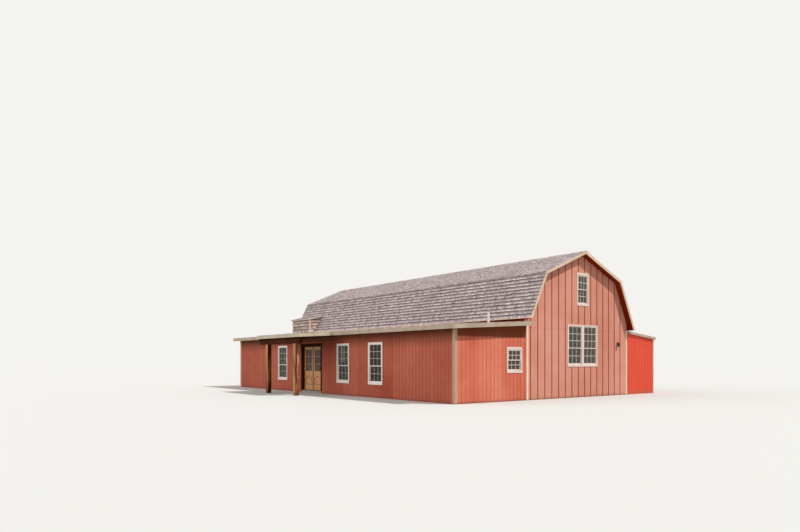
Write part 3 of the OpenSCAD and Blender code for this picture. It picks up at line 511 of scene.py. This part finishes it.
def brushed_paint(name, base, worn, soil, rough=0.6, relief=0.12, area_colour=None):
    """Paint put on with a brush: upright marks 6 mm wide, faint yellowing in patches and soil in specks.

    The last argument is (x, y, colour): what stands to the left of x and before y has that colour instead.
    """
    material, tree, shader, place = surface(name, Roughness=rough)
    strokes = add(tree, "Mapping", {"Vector": place, "Scale": (160.0, 160.0, 9.0)})
    brush = add(tree, "TexNoise", {"Vector": strokes, "Scale": 1.0, "Detail": 3.0})
    patch = add(tree, "TexNoise", {"Vector": place, "Scale": 2.2, "Detail": 5.0, "Roughness": 0.6})
    fade = add(tree, "MapRange", (patch, 0.42, 0.68))
    colour = add(tree, "Mix", {0: fade, 6: base, 7: worn}, **COLOURS)
    if area_colour:
        parts = add(tree, "SeparateXYZ", {"Vector": place}, out=None).outputs
        left = add(tree, "Math", (parts["X"], area_colour[0]), operation="LESS_THAN")
        near = add(tree, "Math", (parts["Y"], area_colour[1]), operation="LESS_THAN")
        both = add(tree, "Math", (left, near), operation="MULTIPLY")
        colour = add(tree, "Mix", {0: both, 6: colour, 7: area_colour[2]}, **COLOURS)
    specks = add(tree, "TexNoise", {"Vector": place, "Scale": 26.0, "Detail": 6.0, "Roughness": 0.7})
    dirt = add(tree, "MapRange", (specks, 0.62, 0.8, 0.0, 0.5))
    colour = add(tree, "Mix", {0: dirt, 6: colour, 7: soil}, **COLOURS)
    return dress(material, shader, colour, brush, relief, 0.001)


def coil_coated_steel(name, base, chalk, soil, rough):
    """Pre-painted steel sheet: chalky in faded streaks, dented a little, with dust on its lowest 250 mm."""
    material, tree, shader, place = surface(name, Roughness=rough)
    streaks = add(tree, "Mapping", {"Vector": place, "Scale": (7.0, 7.0, 0.6)})
    run = add(tree, "TexNoise", {"Vector": streaks, "Scale": 1.0, "Detail": 4.0})
    fade = add(tree, "MapRange", (run, 0.4, 0.75, 0.0, 0.6))
    colour = add(tree, "Mix", {0: fade, 6: base, 7: chalk}, **COLOURS)
    colour = soiled_foot(tree, place, colour, soil, 0.25, 0.4, 6.0)
    dents = add(tree, "TexNoise", {"Vector": place, "Scale": 1.6, "Detail": 1.0})
    return dress(material, shader, colour, dents, 0.25, 0.01)


def cast_concrete(name, base, dark):
    """Concrete as it comes off a board: cloudy grey with 6 mm pits."""
    material, tree, shader, place = surface(name, Roughness=0.93)
    cloud = add(tree, "TexNoise", {"Vector": place, "Scale": 3.0, "Detail": 6.0})
    colour = add(tree, "Mix", {0: cloud, 6: base, 7: dark}, **COLOURS)
    pits = add(tree, "TexNoise", {"Vector": place, "Scale": 160.0, "Detail": 4.0})
    return dress(material, shader, colour, pits, 0.4, 0.002)


def window_glass(name, tint, bend):
    """Float glass in front of a dark room: a clear gloss of that IOR with the faint waves of old panes."""
    material, tree, shader, place = surface(name, Base_Color=tint, Roughness=0.04, IOR=bend,
                                            Transmission_Weight=0.96)
    waves = add(tree, "TexNoise", {"Vector": place, "Scale": 5.0, "Detail": 1.0})
    return dress(material, shader, None, waves, 0.08, 0.004)


def moulded_plastic(name, base, worn, rough):
    """Moulded plastic: an even colour with a faint bloom and a 2 mm orange peel."""
    material, tree, shader, place = surface(name, Roughness=rough)
    bloom = add(tree, "TexNoise", {"Vector": place, "Scale": 7.0, "Detail": 4.0})
    colour = add(tree, "Mix", {0: bloom, 6: base, 7: worn}, **COLOURS)
    peel = add(tree, "TexNoise", {"Vector": place, "Scale": 500.0, "Detail": 1.0})
    return dress(material, shader, colour, peel, 0.1, 0.0003)


# Grain: metres between fibres along x, y and z. Siding fibres are about 1 mm apart and drawn at 6 mm to show.
UP_GRAIN = (0.006, 0.006, 0.22)
Y_GRAIN = (0.006, 0.22, 0.006)
DOOR_GRAIN, POST_GRAIN, BEAM_GRAIN = (0.012, 0.012, 0.5), (0.09, 0.09, 1.2), (0.008, 0.3, 0.008)
# Sawn plywood under a red oil stain: matt upright fibres, faded patches, and a band of painted shadow under
# the eave
wing_stain = stained_wood("red_oil_stained_plywood", "#EA8B70", "#E0795F", "#D0664A", UP_GRAIN, foot=0.12,
                          eave_shade=(2.37, 2.43, "#6E3208"))
# The same stain on the shaded side wall, darker partly as painted shade and partly less faded, and slowly
# darker up to the eave as painted shade
shaded_side_stain = stained_wood("red_oil_stain_darkened_as_painted_shade", "#D1775E", "#C5684F", "#B4543D", UP_GRAIN, foot=0.12,
                          eave_shade=(2.0, 2.55, "#6E3A22"))
# The stain where it pools in the grooves, darkened further as painted shade: dark lines between the boards
groove_shade_stain = stained_wood("pooled_stain_and_painted_groove_shade", "#A85643", "#984A37", "#81392A", UP_GRAIN)
# The stain on the gable, faded to an even pink
gable_stain = stained_wood("sun_faded_red_stain", "#E6A28E", "#DD947D", "#CF7F6A", UP_GRAIN, board=0.2,
                           foot=0.12)
# Narrow battens darkened as painted shade beside them, so they read as thin dark uprights
batten_shade_stain = stained_wood("red_battens_darkened_as_painted_shade", "#8F3C2B", "#7C2E20", "#652218", UP_GRAIN)
# Boards under the eaves: dark red-brown, as painted shade
soffit_shade_stain = stained_wood("red_soffit_boards_darkened_as_painted_shade", "#A84012", "#92300A", "#702306", Y_GRAIN, bend=1.15)
# Factory paint on ribbed steel: bright orange-red, a little glossy, chalky in streaks
lean_steel = coil_coated_steel("red_coil_coated_steel", "#F4502A", "#F56344", "#A5785A", 0.45)
# Zinc-coated sheet gone dull
roof_steel = coil_coated_steel("plain_galvanised_steel", "#96938A", "#85827A", "#746F62", 0.7)
# Mineral granules bleached to lavender grey, with painted shade under each next course and a painted
# highlight on each lower edge
roof_shingle = roof_tabs("weathered_asphalt_shingles",
                         ["#AD9798", "#B9A5A5", "#A38E90", "#C4B2AF", "#9A878B"], "#4A3B3F", "#F0E8E3")
# Split cedar, silvered on its faces and brown in its joints, with the same painted shade and highlight
cedar_shingle = roof_tabs("weathered_cedar_shingles",
                          ["#9A8074", "#B69E92", "#CDBBB0", "#A58C80", "#DED0C8"], "#523E36", "#F2E8E0")
# Tan-cream oil paint on the porch roof's edges, brushed on and dulled by soil
trim_paint = brushed_paint("tan_exterior_paint", "#D4C3AA", "#C4B297", "#8C7E6A")
# The same paint, paler on the steep rakes and greyer on the level fascias
rake_paint = brushed_paint("rain_washed_tan_paint", "#E4C8AA", "#D0B496", "#8C7866")
fascia_paint = brushed_paint("soiled_tan_paint", "#C4AF99", "#AE9A84", "#7A6A5A")
# Cream paint on the corner boards, cleaner and paler, and tan on the wing's front corner
corner_paint = brushed_paint("cream_exterior_paint", "#FFDCC2", "#F3CBA8", "#A5917A",
                             area_colour=(SIDE_X + 0.5, 0.0, "#C2A185"))
# Vinyl frames and casings: warm white and smooth, with a soft sheen, and whiter on the shaded side wall as
# painted light
window_paint = brushed_paint("white_vinyl_windows", "#EFDACF", "#E6CEC0", "#B3A08F", rough=0.45,
                             relief=0.05, area_colour=(SIDE_X + 0.3, LENGTH, "#FFF1E9"))
# Glass in front of a dark room: grey-green, with a pale reflection at grazing angles
dark_glass = window_glass("float_glass", "#A0A588", 1.5)
# The side windows' glass, with less gloss and a darker tint as painted shade in its reflection, so it stays
# darker at the same grazing angle
side_glass = window_glass("float_glass_darkened_as_painted_shade", "#969C80", 1.25)
# Dusty panes in the doors, the far side window and the rear, which let less light through
dusty_glass = window_glass("dusty_float_glass", "#7C816C", 1.25)
# Fir under spar varnish: honey-brown with a satin gloss, made paler as painted light against the porch's
# shade
door_varnish_with_painted_light = stained_wood("varnished_fir_with_painted_light", "#FFC287", "#F5AE70", "#D38F52", DOOR_GRAIN, rough=0.38,
                            bend=1.4, relief=0.12)
# The varnish where it gathers on mouldings and meeting edges: darker brown, also painting the shade in their
# corners and in the gap between the leaves
bead_varnish_and_shade = stained_wood("varnish_gathered_and_painted_shade_on_mouldings", "#8E5526", "#754118", "#5A2D0C", DOOR_GRAIN,
                            rough=0.4, bend=1.4, relief=0.12)
# Nearly black walnut stain round the doorway
dark_stain = stained_wood("dark_walnut_stained_fir", "#6A3A20", "#522812", "#381808", UP_GRAIN, bend=1.15)
# Sawn cedar posts, brown stain worn through in long streaks
post_stain = stained_wood("brown_stained_sawn_cedar", "#D59B73", "#A36A45", "#55260B", POST_GRAIN,
                          rough=0.8, bend=1.2, fibre=3.2, board=0.9, patch=0.3, relief=0.6, foot=0.15)
# The same stain on beams and rafters, darkened as painted shade under the roof above
beam_shade_stain = stained_wood("brown_sawn_beams_darkened_as_painted_shade", "#6E3C1E", "#542A12", "#371807", BEAM_GRAIN,
                          rough=0.8, bend=1.15, relief=0.6)
# Bare softwood inside, pale yellow-brown
framing = stained_wood("sawn_softwood_framing", "#CFAE7A", "#B8935C", "#99733F", UP_GRAIN, rough=0.8)
# Slab and step: grey, cloudy and pitted
slab = cast_concrete("cast_concrete", "#B9B4A8", "#9C968A")
# Plain white pipe, matt from the weather
vent_plastic = moulded_plastic("white_drain_pipe", "#FFF6EC", "#F4E8DA", 0.5)
# Baked enamel on the lamp: nearly black with a brown cast
lamp_bronze = coil_coated_steel("dark_bronze_enamel", "#2B2622", "#3A332D", "#4A4036", 0.45)
# White glaze on the knob, with a sharp highlight
knob_glaze = moulded_plastic("glazed_ceramic", "#FFFDF9", "#F8F4EC", 0.12)

# Finish of each slot. Solids in the shingle slot take the soffit's, because tabs cover their upper faces.
SLOT_FINISH = {
    "concrete": slab, "wing_siding": wing_stain, "gable_siding": gable_stain, "metal_siding": lean_steel,
    "framing_wood": framing, "shingle": soffit_shade_stain, "metal_roof": roof_steel, "trim_paint": trim_paint,
    "window_paint": window_paint, "glass": dark_glass, "door_wood": door_varnish_with_painted_light,
    "door_frame_wood": dark_stain, "porch_wood": beam_shade_stain, "dormer_shingle": cedar_shingle,
    "pipe": vent_plastic, "lamp_metal": lamp_bronze, "knob": knob_glaze,
}
# Nodes whose finish isn't the usual one of their slot
NODE_FINISH = {
    "corner_boards": corner_paint, "rake_boards": rake_paint, "fascia_boards": fascia_paint,
    # The wall band under the barn's left eave takes the soffit's dark finish as painted shade
    "side_band_left": soffit_shade_stain, "side_glass_near": side_glass, "side_glass_far": dusty_glass,
    "rear_glass": dusty_glass, "door_glass_left": dusty_glass, "door_glass_right": dusty_glass,
}
slots = {row["node"]: row["material_slot"] for row in frame["record"]["subparts"]}
for node, piece in frame["nodes"].items():
    for holder in piece.material_slots:
        holder.material = NODE_FINISH.get(node, SLOT_FINISH[slots[node]])


# Lines of the roofs
def wing_top(h):
    """Height of the wing's roof, and of the porch's, at distance h from the wing's outer wall face."""
    return WING_Z + h * WING_RISE / WING_W


def wing_line(h):
    """Height of the cladding's top under the wing's roof at distance h."""
    return wing_top(h) - WING_T - UNDER


def lean_line(h):
    """Height of the cladding's top under the lean-to's roof at distance h."""
    return LEAN_Z - (h - BARN_END) * LEAN_FALL / LEAN_W - LEAN_T - UNDER


def gambrel_line(drop):
    """Corners (h, z) of the gambrel, drop below its upper faces, from the left wall to the right one."""
    low = drop * math.hypot(1, STEEP)
    high = drop * math.hypot(1, SHALLOW)
    knee = (EAVE_Z + EAVE_U * STEEP - low - RIDGE_Z + high) / (STEEP - SHALLOW)
    foot = EAVE_Z + (EAVE_U - BARN_W / 2) * STEEP - low
    half = [(0, RIDGE_Z - high), (knee, RIDGE_Z - high - knee * SHALLOW), (BARN_W / 2, foot)]
    left = [(BARN_C - u, z) for u, z in half[:0:-1]]
    return np.array(left + [(BARN_C + u, z) for u, z in half])


GABLE = gambrel_line(ROOF_T + UNDER)


def gable_top(h):
    """Height of the cladding's top under the barn's roof at distance h."""
    return float(np.interp(h, GABLE[:, 0], GABLE[:, 1]))


def level(z):
    """A level line at height z, as a function of the distance h."""
    return lambda h: 0 * h + z


# Walls

# Pitch and width of the siding's grooves, depth of its face and of the backing that shows in the grooves, how
# many boards a sheet has, and height of the bare strip over the entry's casing
GROOVE, GROOVE_W, SKIN, BACK, SHEET, BARE_STRIP = 0.2032, 0.014, 0.01, 0.002, 6, 0.095
# Gable battens: place of the first, pitch, number, half their width, height of the foot, and depths
BATTEN_H, BATTEN_PITCH, BATTENS = 3.884, 0.42, 15
BATTEN_HALF, BATTEN_FOOT, BATTEN_D = 0.015, FOOT + 0.01, (SKIN + 0.0005, 0.021)
# Gable panels: half the gap between two, how many share most of a tone, and the flashed joint between their
# two rows, as a hole that runs right across (h0, h1, bottom, top)
PANEL_GAP, PANEL_SHEET, PANEL_JOINT = 0.003, 3, (0, 20, 2.767, 2.773)
WALL_STEEL = dict(ribs=8, pitch=0.115, tall=0.014)


def board_spans(start, end, pitch, gap):
    """Limits of boards at a pitch between start and end, less half a gap on each side."""
    edges = np.append(np.arange(start, end - pitch / 4, pitch), end)
    return [(a + gap / 2, b - gap / 2) for a, b in zip(edges, edges[1:])]


def window_holes(windows):
    """Outer limits of the casing, head and sill of each window."""
    return [(c - w / 2 - CASING, c + w / 2 + CASING, z - SILL, z + h + head)
            for c, z, w, h, _, head, *_ in windows]


def door_hole():
    """Outer limits of the entry's casing, from height 0 up to the top of the bare strip over it."""
    low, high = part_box("entry_door_frame")
    return low.y - FRONT_Y, high.y - FRONT_Y, 0, high.z + BARE_STRIP


def grooved_siding(name, face, start, end, top, holes, finish, seed):
    """Plywood sheets of boards with grooves between, over a dark backing, partly painted shade, that shows in
    the grooves.
    """
    clad(f"backing_{name}", face, [(start, end)], FOOT + APART, top, holes, (-BED, BACK), groove_shade_stain,
         "wing_siding", seed=seed)
    clad(f"siding_{name}", face, board_spans(start, end, GROOVE, GROOVE_W), FOOT, top, holes,
         (BACK, SKIN), finish, "wing_siding", sheet=SHEET, seed=seed)


def gable_siding(end, face):
    """Two rows of panels on a gable, and a batten over each upright joint."""
    at = BATTEN_H + np.arange(BATTENS) * BATTEN_PITCH
    edges = [WING_W + CORNER / 2, *at, BARN_END - CORNER]
    panels = [(a + PANEL_GAP, b - PANEL_GAP) for a, b in zip(edges, edges[1:])]
    holes = window_holes(GABLE_WINDOWS)
    bends = tuple(GABLE[1:-1, 0])
    clad(f"siding_gable_{end}", face, panels, FOOT, gable_top, holes + [PANEL_JOINT], (-BED, SKIN),
         gable_stain, "gable_siding", bends, PANEL_SHEET, seed=13)
    soften(clad(f"battens_gable_{end}", face, [(b - BATTEN_HALF, b + BATTEN_HALF) for b in at],
                BATTEN_FOOT, gable_top, holes, BATTEN_D, batten_shade_stain, "gable_siding", bends, seed=14))


grooved_siding("wing_side", LEFT, CORNER, LENGTH - CORNER, level(wing_line(0)),
               window_holes(SIDE_WINDOWS) + [door_hole()], shaded_side_stain, seed=11)
for end, face in ENDS:
    grooved_siding(f"wing_{end}", face, CORNER - TRIM, WING_W - CORNER / 2, wing_line,
                   window_holes(WING_WINDOWS), wing_stain, seed=12)
    gable_siding(end, face)
    ribbed(f"steel_lean_to_{end}", face, BARN_END + APART, LEAN_END - CORNER / 2, level(FOOT), lean_line,
           lean_steel, "metal_siding", **WALL_STEEL)
ribbed("steel_lean_to_side", RIGHT, CORNER / 2, LENGTH - CORNER / 2, level(FOOT),
       level(lean_line(LEAN_END)), lean_steel, "metal_siding", **WALL_STEEL)

# Windows

# Half the width of the glazing bars in the side wall's windows and in the ends'
SIDE_BAR, END_BAR = 0.0045, 0.009
bars("window_bars_side", LEFT, SIDE_WINDOWS, SIDE_BAR)
for end, face in ENDS:
    bars(f"window_bars_{end}", face, GABLE_WINDOWS + WING_WINDOWS, END_BAR)

# Roofs

# Ends of the courses, a little inside the rake boards' outer faces
RAKE_EDGE = 0.003
Y0, Y1 = RAKE_EDGE - GABLE_OUT - TRIM, LENGTH + GABLE_OUT + TRIM - RAKE_EDGE
# How far the first course hangs over the eave and over the knee, and how far the last stops below the ridge
EAVE_HANG, KNEE_HANG, RIDGE_GAP = 0.02, 0.012, 0.02
# Section of the painted drip edge (outset, height), and its distance from the dormer
DRIP = np.array([(0.0, 0.002), (0.012, -0.002), (0.012, -0.042), (0.006, -0.046), (0.0, -0.04)])
DRIP_GAP = 0.02
ROOF = dict(finish=roof_shingle, slot="shingle")
# Ridge tabs: distance between two, length, shortest length, half width, and thickness at foot and head
CAP_STEP, CAP_L, CAP_LEAST, CAP_W, CAP_T = 0.15, 0.29, 0.1, 0.15, (0.024, 0.006)
# How far inside their fascia's face the porch's shingles and the lean-to's sheet end, and the sheet's pitch
PORCH_EDGE, LEAN_EDGE, LEAN_PITCH = 0.002, 0.004, 0.2286


def barn_slopes(side, sign, drop):
    """Shingles of the steep and the shallow slope of one side, and the drip edge under the first course."""
    foot_x, foot_z = MIDDLE_X + sign * (EAVE_U + drop / STEEP), EAVE_Z - drop
    face, length = slope(foot_x, foot_z, MIDDLE_X + sign * KNEE_U, KNEE_Z)
    shingles(f"shingles_lower_{side}", face, Y0, Y1, -EAVE_HANG, length, seed=21 + sign, **ROOF)
    face, length = slope(MIDDLE_X + sign * KNEE_U, KNEE_Z, MIDDLE_X, RIDGE_Z)
    shingles(f"shingles_upper_{side}", face, Y0, Y1, -KNEE_HANG, length - RIDGE_GAP, seed=31 + sign,
             **ROOF)
    runs = [[-GABLE_OUT, LENGTH + GABLE_OUT]]
    if side == "left":
        runs = [[-GABLE_OUT, LENGTH - DORMER_L - DRIP_GAP], [LENGTH + DRIP_GAP, LENGTH + GABLE_OUT]]
    y = FRONT_Y + np.array(runs)[:, :, None]
    drip = np.stack(np.broadcast_arrays(foot_x + sign * DRIP[:, 0], y, foot_z + DRIP[:, 1]), -1)
    lofts(f"drip_edge_{side}", drip, corner_paint, "trim_paint")


def ridge_cap():
    """Tabs over the ridge: an open V of six points each, thick at the foot, where it laps the next tab."""
    foot_y = np.arange(FRONT_Y + Y0, FRONT_Y + Y1 - CAP_LEAST, CAP_STEP)
    y = np.stack([foot_y, np.minimum(foot_y + CAP_L, FRONT_Y + Y1)], -1)[:, :, None]
    u = np.array([-CAP_W, 0.0, CAP_W, CAP_W, 0.0, -CAP_W])
    upper = np.array([1, 1, 1, 0, 0, 0])
    z = RIDGE_Z - np.abs(u) * SHALLOW + upper * np.array(CAP_T)[None, :, None]
    rings = np.stack(np.broadcast_arrays(MIDDLE_X + u, y, z), -1)
    tones = np.random.default_rng(51).random(len(foot_y))[:, None, None]
    tabs = lofts("ridge_tabs", rings, roof_shingle, "shingle", tone=tones, wear=np.array([[1.0], [0.0]]))
    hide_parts("ridge_cap")


def low_shingles():
    """Shingles of the wing's and the porch's roof, which have one slope."""
    edge = -WING_OUT - TRIM
    face, length = slope(SIDE_X + edge, wing_top(edge), BARN_X0, WING_Z + WING_RISE)
    shingles("shingles_wing", face, Y0, Y1, 0.0, length, seed=41, **ROOF)
    far = -PORCH_OUT - TRIM
    face, length = slope(SIDE_X + far + PORCH_EDGE, wing_top(far), SIDE_X + edge, wing_top(edge))
    shingles("shingles_porch", face, PORCH_Y0 - TRIM, PORCH_Y1 + TRIM, 0.0, length, seed=42, **ROOF)


def lean_to_steel():
    """Ribbed steel on the lean-to's roof."""
    out = LEAN_OUT + TRIM - LEAN_EDGE
    face, length = slope(RIGHT_X + out, LEAN_Z - (LEAN_W + out) * LEAN_FALL / LEAN_W, BARN_X1, LEAN_Z)
    ribbed("steel_lean_to_roof", face, -LEAN_OUT - TRIM, LENGTH + LEAN_OUT + TRIM, level(0.0),
           level(length), roof_steel, "metal_roof", pitch=LEAN_PITCH)


barn_slopes("left", -1, 0.0)
barn_slopes("right", 1, EAVE_DROP)
low_shingles()
ridge_cap()
lean_to_steel()

# Dormer
DORMER_Z0 = wing_top(BARN_C - DORMER_U)
DORMER_TOP = EAVE_Z + DORMER_H
CEDAR = dict(finish=cedar_shingle, slot="dormer_shingle", course=0.19, widths=(0.09, 0.24), butt=0.016)
# How far inwards and up the ends' shingles would reach if no roof cut them, and how far the roof's first
# course hangs over
DORMER_END, DORMER_HANG = (0.9, 1.2), 0.01


def dormer_under(u):
    """Height of the dormer's cladding over its front's foot, at distance u out from the barn's middle."""
    return DORMER_TOP - DORMER_T + DORMER_SLOPE * (DORMER_U - u) - DORMER_Z0 - UNDER


def dormer_depth(s):
    """Depth of the dormer's ends at height s above its front's foot, to the eave, then the steep slope."""
    return DORMER_U - EAVE_U + np.maximum(0, (DORMER_Z0 + s - EAVE_Z) / STEEP)


def dormer():
    """Cedar shingles on the dormer's front and ends, and roof shingles up to the barn's steep slope."""
    x, y0 = MIDDLE_X - DORMER_U, REAR_Y - DORMER_L
    shingles("shingles_dormer_front", upright(x, y0, DORMER_Z0, (0, 1, 0), (-1, 0, 0)), CORNER + APART,
             DORMER_L - CORNER - APART, 0.0, dormer_under(DORMER_U), seed=61, **CEDAR)
    for end, y, out in (("near", y0, -1), ("far", REAR_Y, 1)):
        shingles(f"shingles_dormer_{end}", upright(x, y, DORMER_Z0, (1, 0, 0), (0, out, 0)), 0.0,
                 DORMER_END[0], 0.0, DORMER_END[1], seed=62 + out, ends=dormer_depth,
                 tops=lambda h: dormer_under(DORMER_U - h), **CEDAR)
    low_u = DORMER_U + DORMER_OUT
    high_u = (EAVE_Z + EAVE_U * STEEP - DORMER_TOP - DORMER_SLOPE * DORMER_U) / (STEEP - DORMER_SLOPE)
    face, length = slope(MIDDLE_X - low_u, DORMER_TOP - DORMER_SLOPE * DORMER_OUT, MIDDLE_X - high_u,
                         DORMER_TOP + DORMER_SLOPE * (DORMER_U - high_u))
    shingles("shingles_dormer_roof", face, LENGTH - DORMER_L - DORMER_OUT, LENGTH + DORMER_OUT,
             -DORMER_HANG, length, seed=64, **ROOF)


dormer()

# Porch

# Tones of the posts' front and left side, darker fronts as painted shade and lighter left sides as painted
# light, and the deck's boards: number, half the gap between two, and depths
POST_SHADE_TONES = ((0.4, 0.72), (0.0, 0.62))
DECK_BOARDS, DECK_GAP, DECK_D = 12, 0.002, (0.0005, WING_T - UNDER)


def porch_posts():
    """Sawn timbers in place of the plain posts."""
    low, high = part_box("porch_posts")
    half = (high.x - low.x) / 2
    for number, (y, tones) in enumerate(zip((low.y + half, high.y - half), POST_SHADE_TONES)):
        post = sawn_timber(f"porch_post_{number + 1}", (low.x + half, y), half, low.z, high.z, 71 + number,
                           *tones)
        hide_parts("porch_posts")


def porch_roof():
    """Deck boards that run along the porch, and the painted boards round its three edges."""
    face, run = slope(SIDE_X - PORCH_OUT, wing_top(-PORCH_OUT) - WING_T, SIDE_X - WING_OUT,
                      wing_top(-WING_OUT) - WING_T)
    cuts = np.linspace(0, run, DECK_BOARDS + 1)
    rings = box_rings(face, PORCH_Y0, PORCH_Y1, cuts[:-1] + DECK_GAP, cuts[1:] - DECK_GAP, *DECK_D)
    tones = np.random.default_rng(73).random(DECK_BOARDS)[:, None, None]
    deck = lofts("porch_deck_boards", rings, beam_shade_stain, "porch_wood", tone=tones)
    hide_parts("porch_roof")

    top = wing_top(-PORCH_OUT)
    outer = box_rings(LEFT, PORCH_Y0 - TRIM, PORCH_Y1 + TRIM, top - FASCIA, top, PORCH_OUT,
                      PORCH_OUT + TRIM)
    x = np.array([-PORCH_OUT, -WING_OUT, -WING_OUT, -PORCH_OUT])
    y = np.array([[PORCH_Y0 - TRIM, PORCH_Y0], [PORCH_Y1, PORCH_Y1 + TRIM]])[:, :, None]
    z = wing_top(x) - np.array([FASCIA, FASCIA, 0, 0])
    sides = np.stack(np.broadcast_arrays(SIDE_X + x, FRONT_Y + y, z), -1)
    fascia = lofts("porch_fascia", np.concatenate([outer, sides]), trim_paint, "trim_paint")
    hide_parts("porch_roof")
    soften(fascia)


porch_posts()
porch_roof()

# Entry doors

# Section of a bead (outset, depth) in the corner between an opening's edge and a face 13 mm behind the leaf's
BEAD = [(0.0, -0.013), (-0.022, -0.013), (-0.02, -0.008), (-0.009, -0.002), (-0.007, 0.003), (0.0, 0.003)]
# Glazing bars: half their width, and half the thickness of upright and of level ones
DOOR_BAR, DOOR_BAR_T = 0.01, (0.012, 0.011)
# Panes across and up in a leaf
DOOR_PANES = 3
# Strip on a meeting stile: distances of its sides from the leaf's edge, gap at its ends, and depths
STRIP, STRIP_END, STRIP_D = (0.002, 0.034), 0.004, (-BED, 0.006)


def bead(name, face, outline, finish, body):
    """Bead round an outline: each (outset, depth) of its section is the outline set out so, that deep."""
    path = np.array([[outline(o) for o, _ in BEAD]])
    rings = on(face, path[..., 0], path[..., 1], np.array([d for _, d in BEAD])[None, :, None])
    lofts(name, rings, finish, "door_wood", body, closed=True, tone=0.5)


def door(side, inwards):
    """Bars, beads and meeting strip of a leaf whose meeting edge has the rest of the leaf inwards along y."""
    body = f"door_{side}"
    (front, y0, z0), (back, y1, z1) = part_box(f"door_glass_{side}")
    low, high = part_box(f"door_leaf_{side}")
    face = upright(low.x, 0, 0, (0, 1, 0), (-1, 0, 0))
    deep = low.x - (front + back) / 2
    upright_t, level_t = DOOR_BAR_T
    limits = [(y - DOOR_BAR, y + DOOR_BAR, z0, z1, deep - upright_t, deep + upright_t)
              for y in np.linspace(y0, y1, DOOR_PANES + 1)[1:-1]]
    limits += [(y0, y1, z - DOOR_BAR, z + DOOR_BAR, deep - level_t, deep + level_t)
               for z in np.linspace(z0, z1, DOOR_PANES + 1)[1:-1]]
    lofts(f"door_bars_{side}", box_rings(face, *np.array(limits).T), door_varnish_with_painted_light, "door_wood", body,
          tone=0.0)
    bead(f"door_light_beads_{side}", face, rectangle(y0, y1, z0, z1), door_varnish_with_painted_light, body)
    panel = low.z + DOOR_KICK
    bead(f"door_panel_beads_{side}", face, arched(y0, y1, panel, panel + DOOR_PANEL), bead_varnish_and_shade, body)
    # The strips paint the shade of the gap between the leaves as the dark upright in the middle of the doors
    edge = y0 - DOOR_STILE if inwards > 0 else y1 + DOOR_STILE
    across = sorted(edge + inwards * v for v in STRIP)
    rings = box_rings(face, *across, low.z + STRIP_END, high.z - STRIP_END, *STRIP_D)
    soften(lofts(f"door_meeting_shade_strip_{side}", rings, bead_varnish_and_shade, "door_wood", body, tone=0.3))


door("left", 1)
door("right", -1)

# Studio
REACH, FLOOR_Z = 300.0, -0.002


def seen(tree):
    """1 on rays of the camera, of gloss and of glass, which show the studio, and 0 on rays that light it."""
    rays = add(tree, "LightPath", out=None).outputs
    either = add(tree, "Math", (rays["Is Camera Ray"], rays["Is Glossy Ray"]), operation="MAXIMUM")
    return add(tree, "Math", (either, rays["Is Transmission Ray"]), operation="MAXIMUM")


def studio_floor():
    """Plain floor: pale where it is seen, and mid grey for the light that it throws back under the eaves."""
    corners = [(x * REACH, y * REACH, FLOOR_Z) for x, y in ((-1, -1), (1, -1), (1, 1), (-1, 1))]
    mesh = bpy.data.meshes.new("studio_floor")
    mesh.from_pydata(corners, [], [(0, 1, 2, 3)])
    floor = placed("studio_floor", mesh)
    material, tree, shader, _ = surface("pale_studio_floor", Roughness=0.95)
    paint = add(tree, "Mix", {0: seen(tree), 6: "#A09F9B", 7: "#D2D1CD"}, **COLOURS)
    tree.links.new(paint, shader.inputs["Base Color"])
    mesh.materials.append(material)


def studio_world():
    """Soft even light of strength 0.46, and a nearly white background where it is seen."""
    world = bpy.data.worlds.new("studio")
    bpy.context.scene.world = world
    world.use_nodes = True
    tree = world.node_tree
    tree.nodes.clear()
    light = add(tree, "Background", {"Color": "#FFFFFF", "Strength": 0.46})
    back = add(tree, "Background", {"Color": "#F4F3F0", "Strength": 1.0})
    mixed = add(tree, "MixShader", (seen(tree), light, back))
    add(tree, "OutputWorld", {"Surface": mixed}, out=None)


def lamp(name, energy, angle, towards):
    """Sun lamp of that strength, angle degrees wide, that stands in the direction towards."""
    sun = bpy.data.lights.new(name, "SUN")
    sun.energy, sun.angle = energy, math.radians(angle)
    holder = placed(name, sun)
    x, y, z = towards
    holder.rotation_euler = (math.atan2(math.hypot(x, y), z), 0, math.atan2(x, -y))


def photograph_camera():
    """Camera at the photograph's viewing angle, found from the walls' feet, window edges and eaves.

    It stands at eye height and looks level, and the shift moves the horizon down to its place.
    """
    camera = bpy.data.cameras.new("camera")
    camera.sensor_width = 36.0
    camera.lens = 28.357
    camera.shift_y = 0.1176
    camera.clip_end = 1000.0
    viewer = placed("camera", camera)
    viewer.location = (-20.046, -25.209, 1.53)
    viewer.rotation_euler = (math.radians(90), 0, math.radians(-37.448))
    bpy.context.scene.camera = viewer


studio_floor()
studio_world()
lamp("soft_key", 2.9, 2.0, (0.37, -0.50, 0.86))
lamp("soft_fill", 1.0, 50.0, (-0.75, 0.45, 0.48))
photograph_camera()
bpy.context.scene.view_settings.view_transform = "Standard"

bpy.context.view_layer.update()
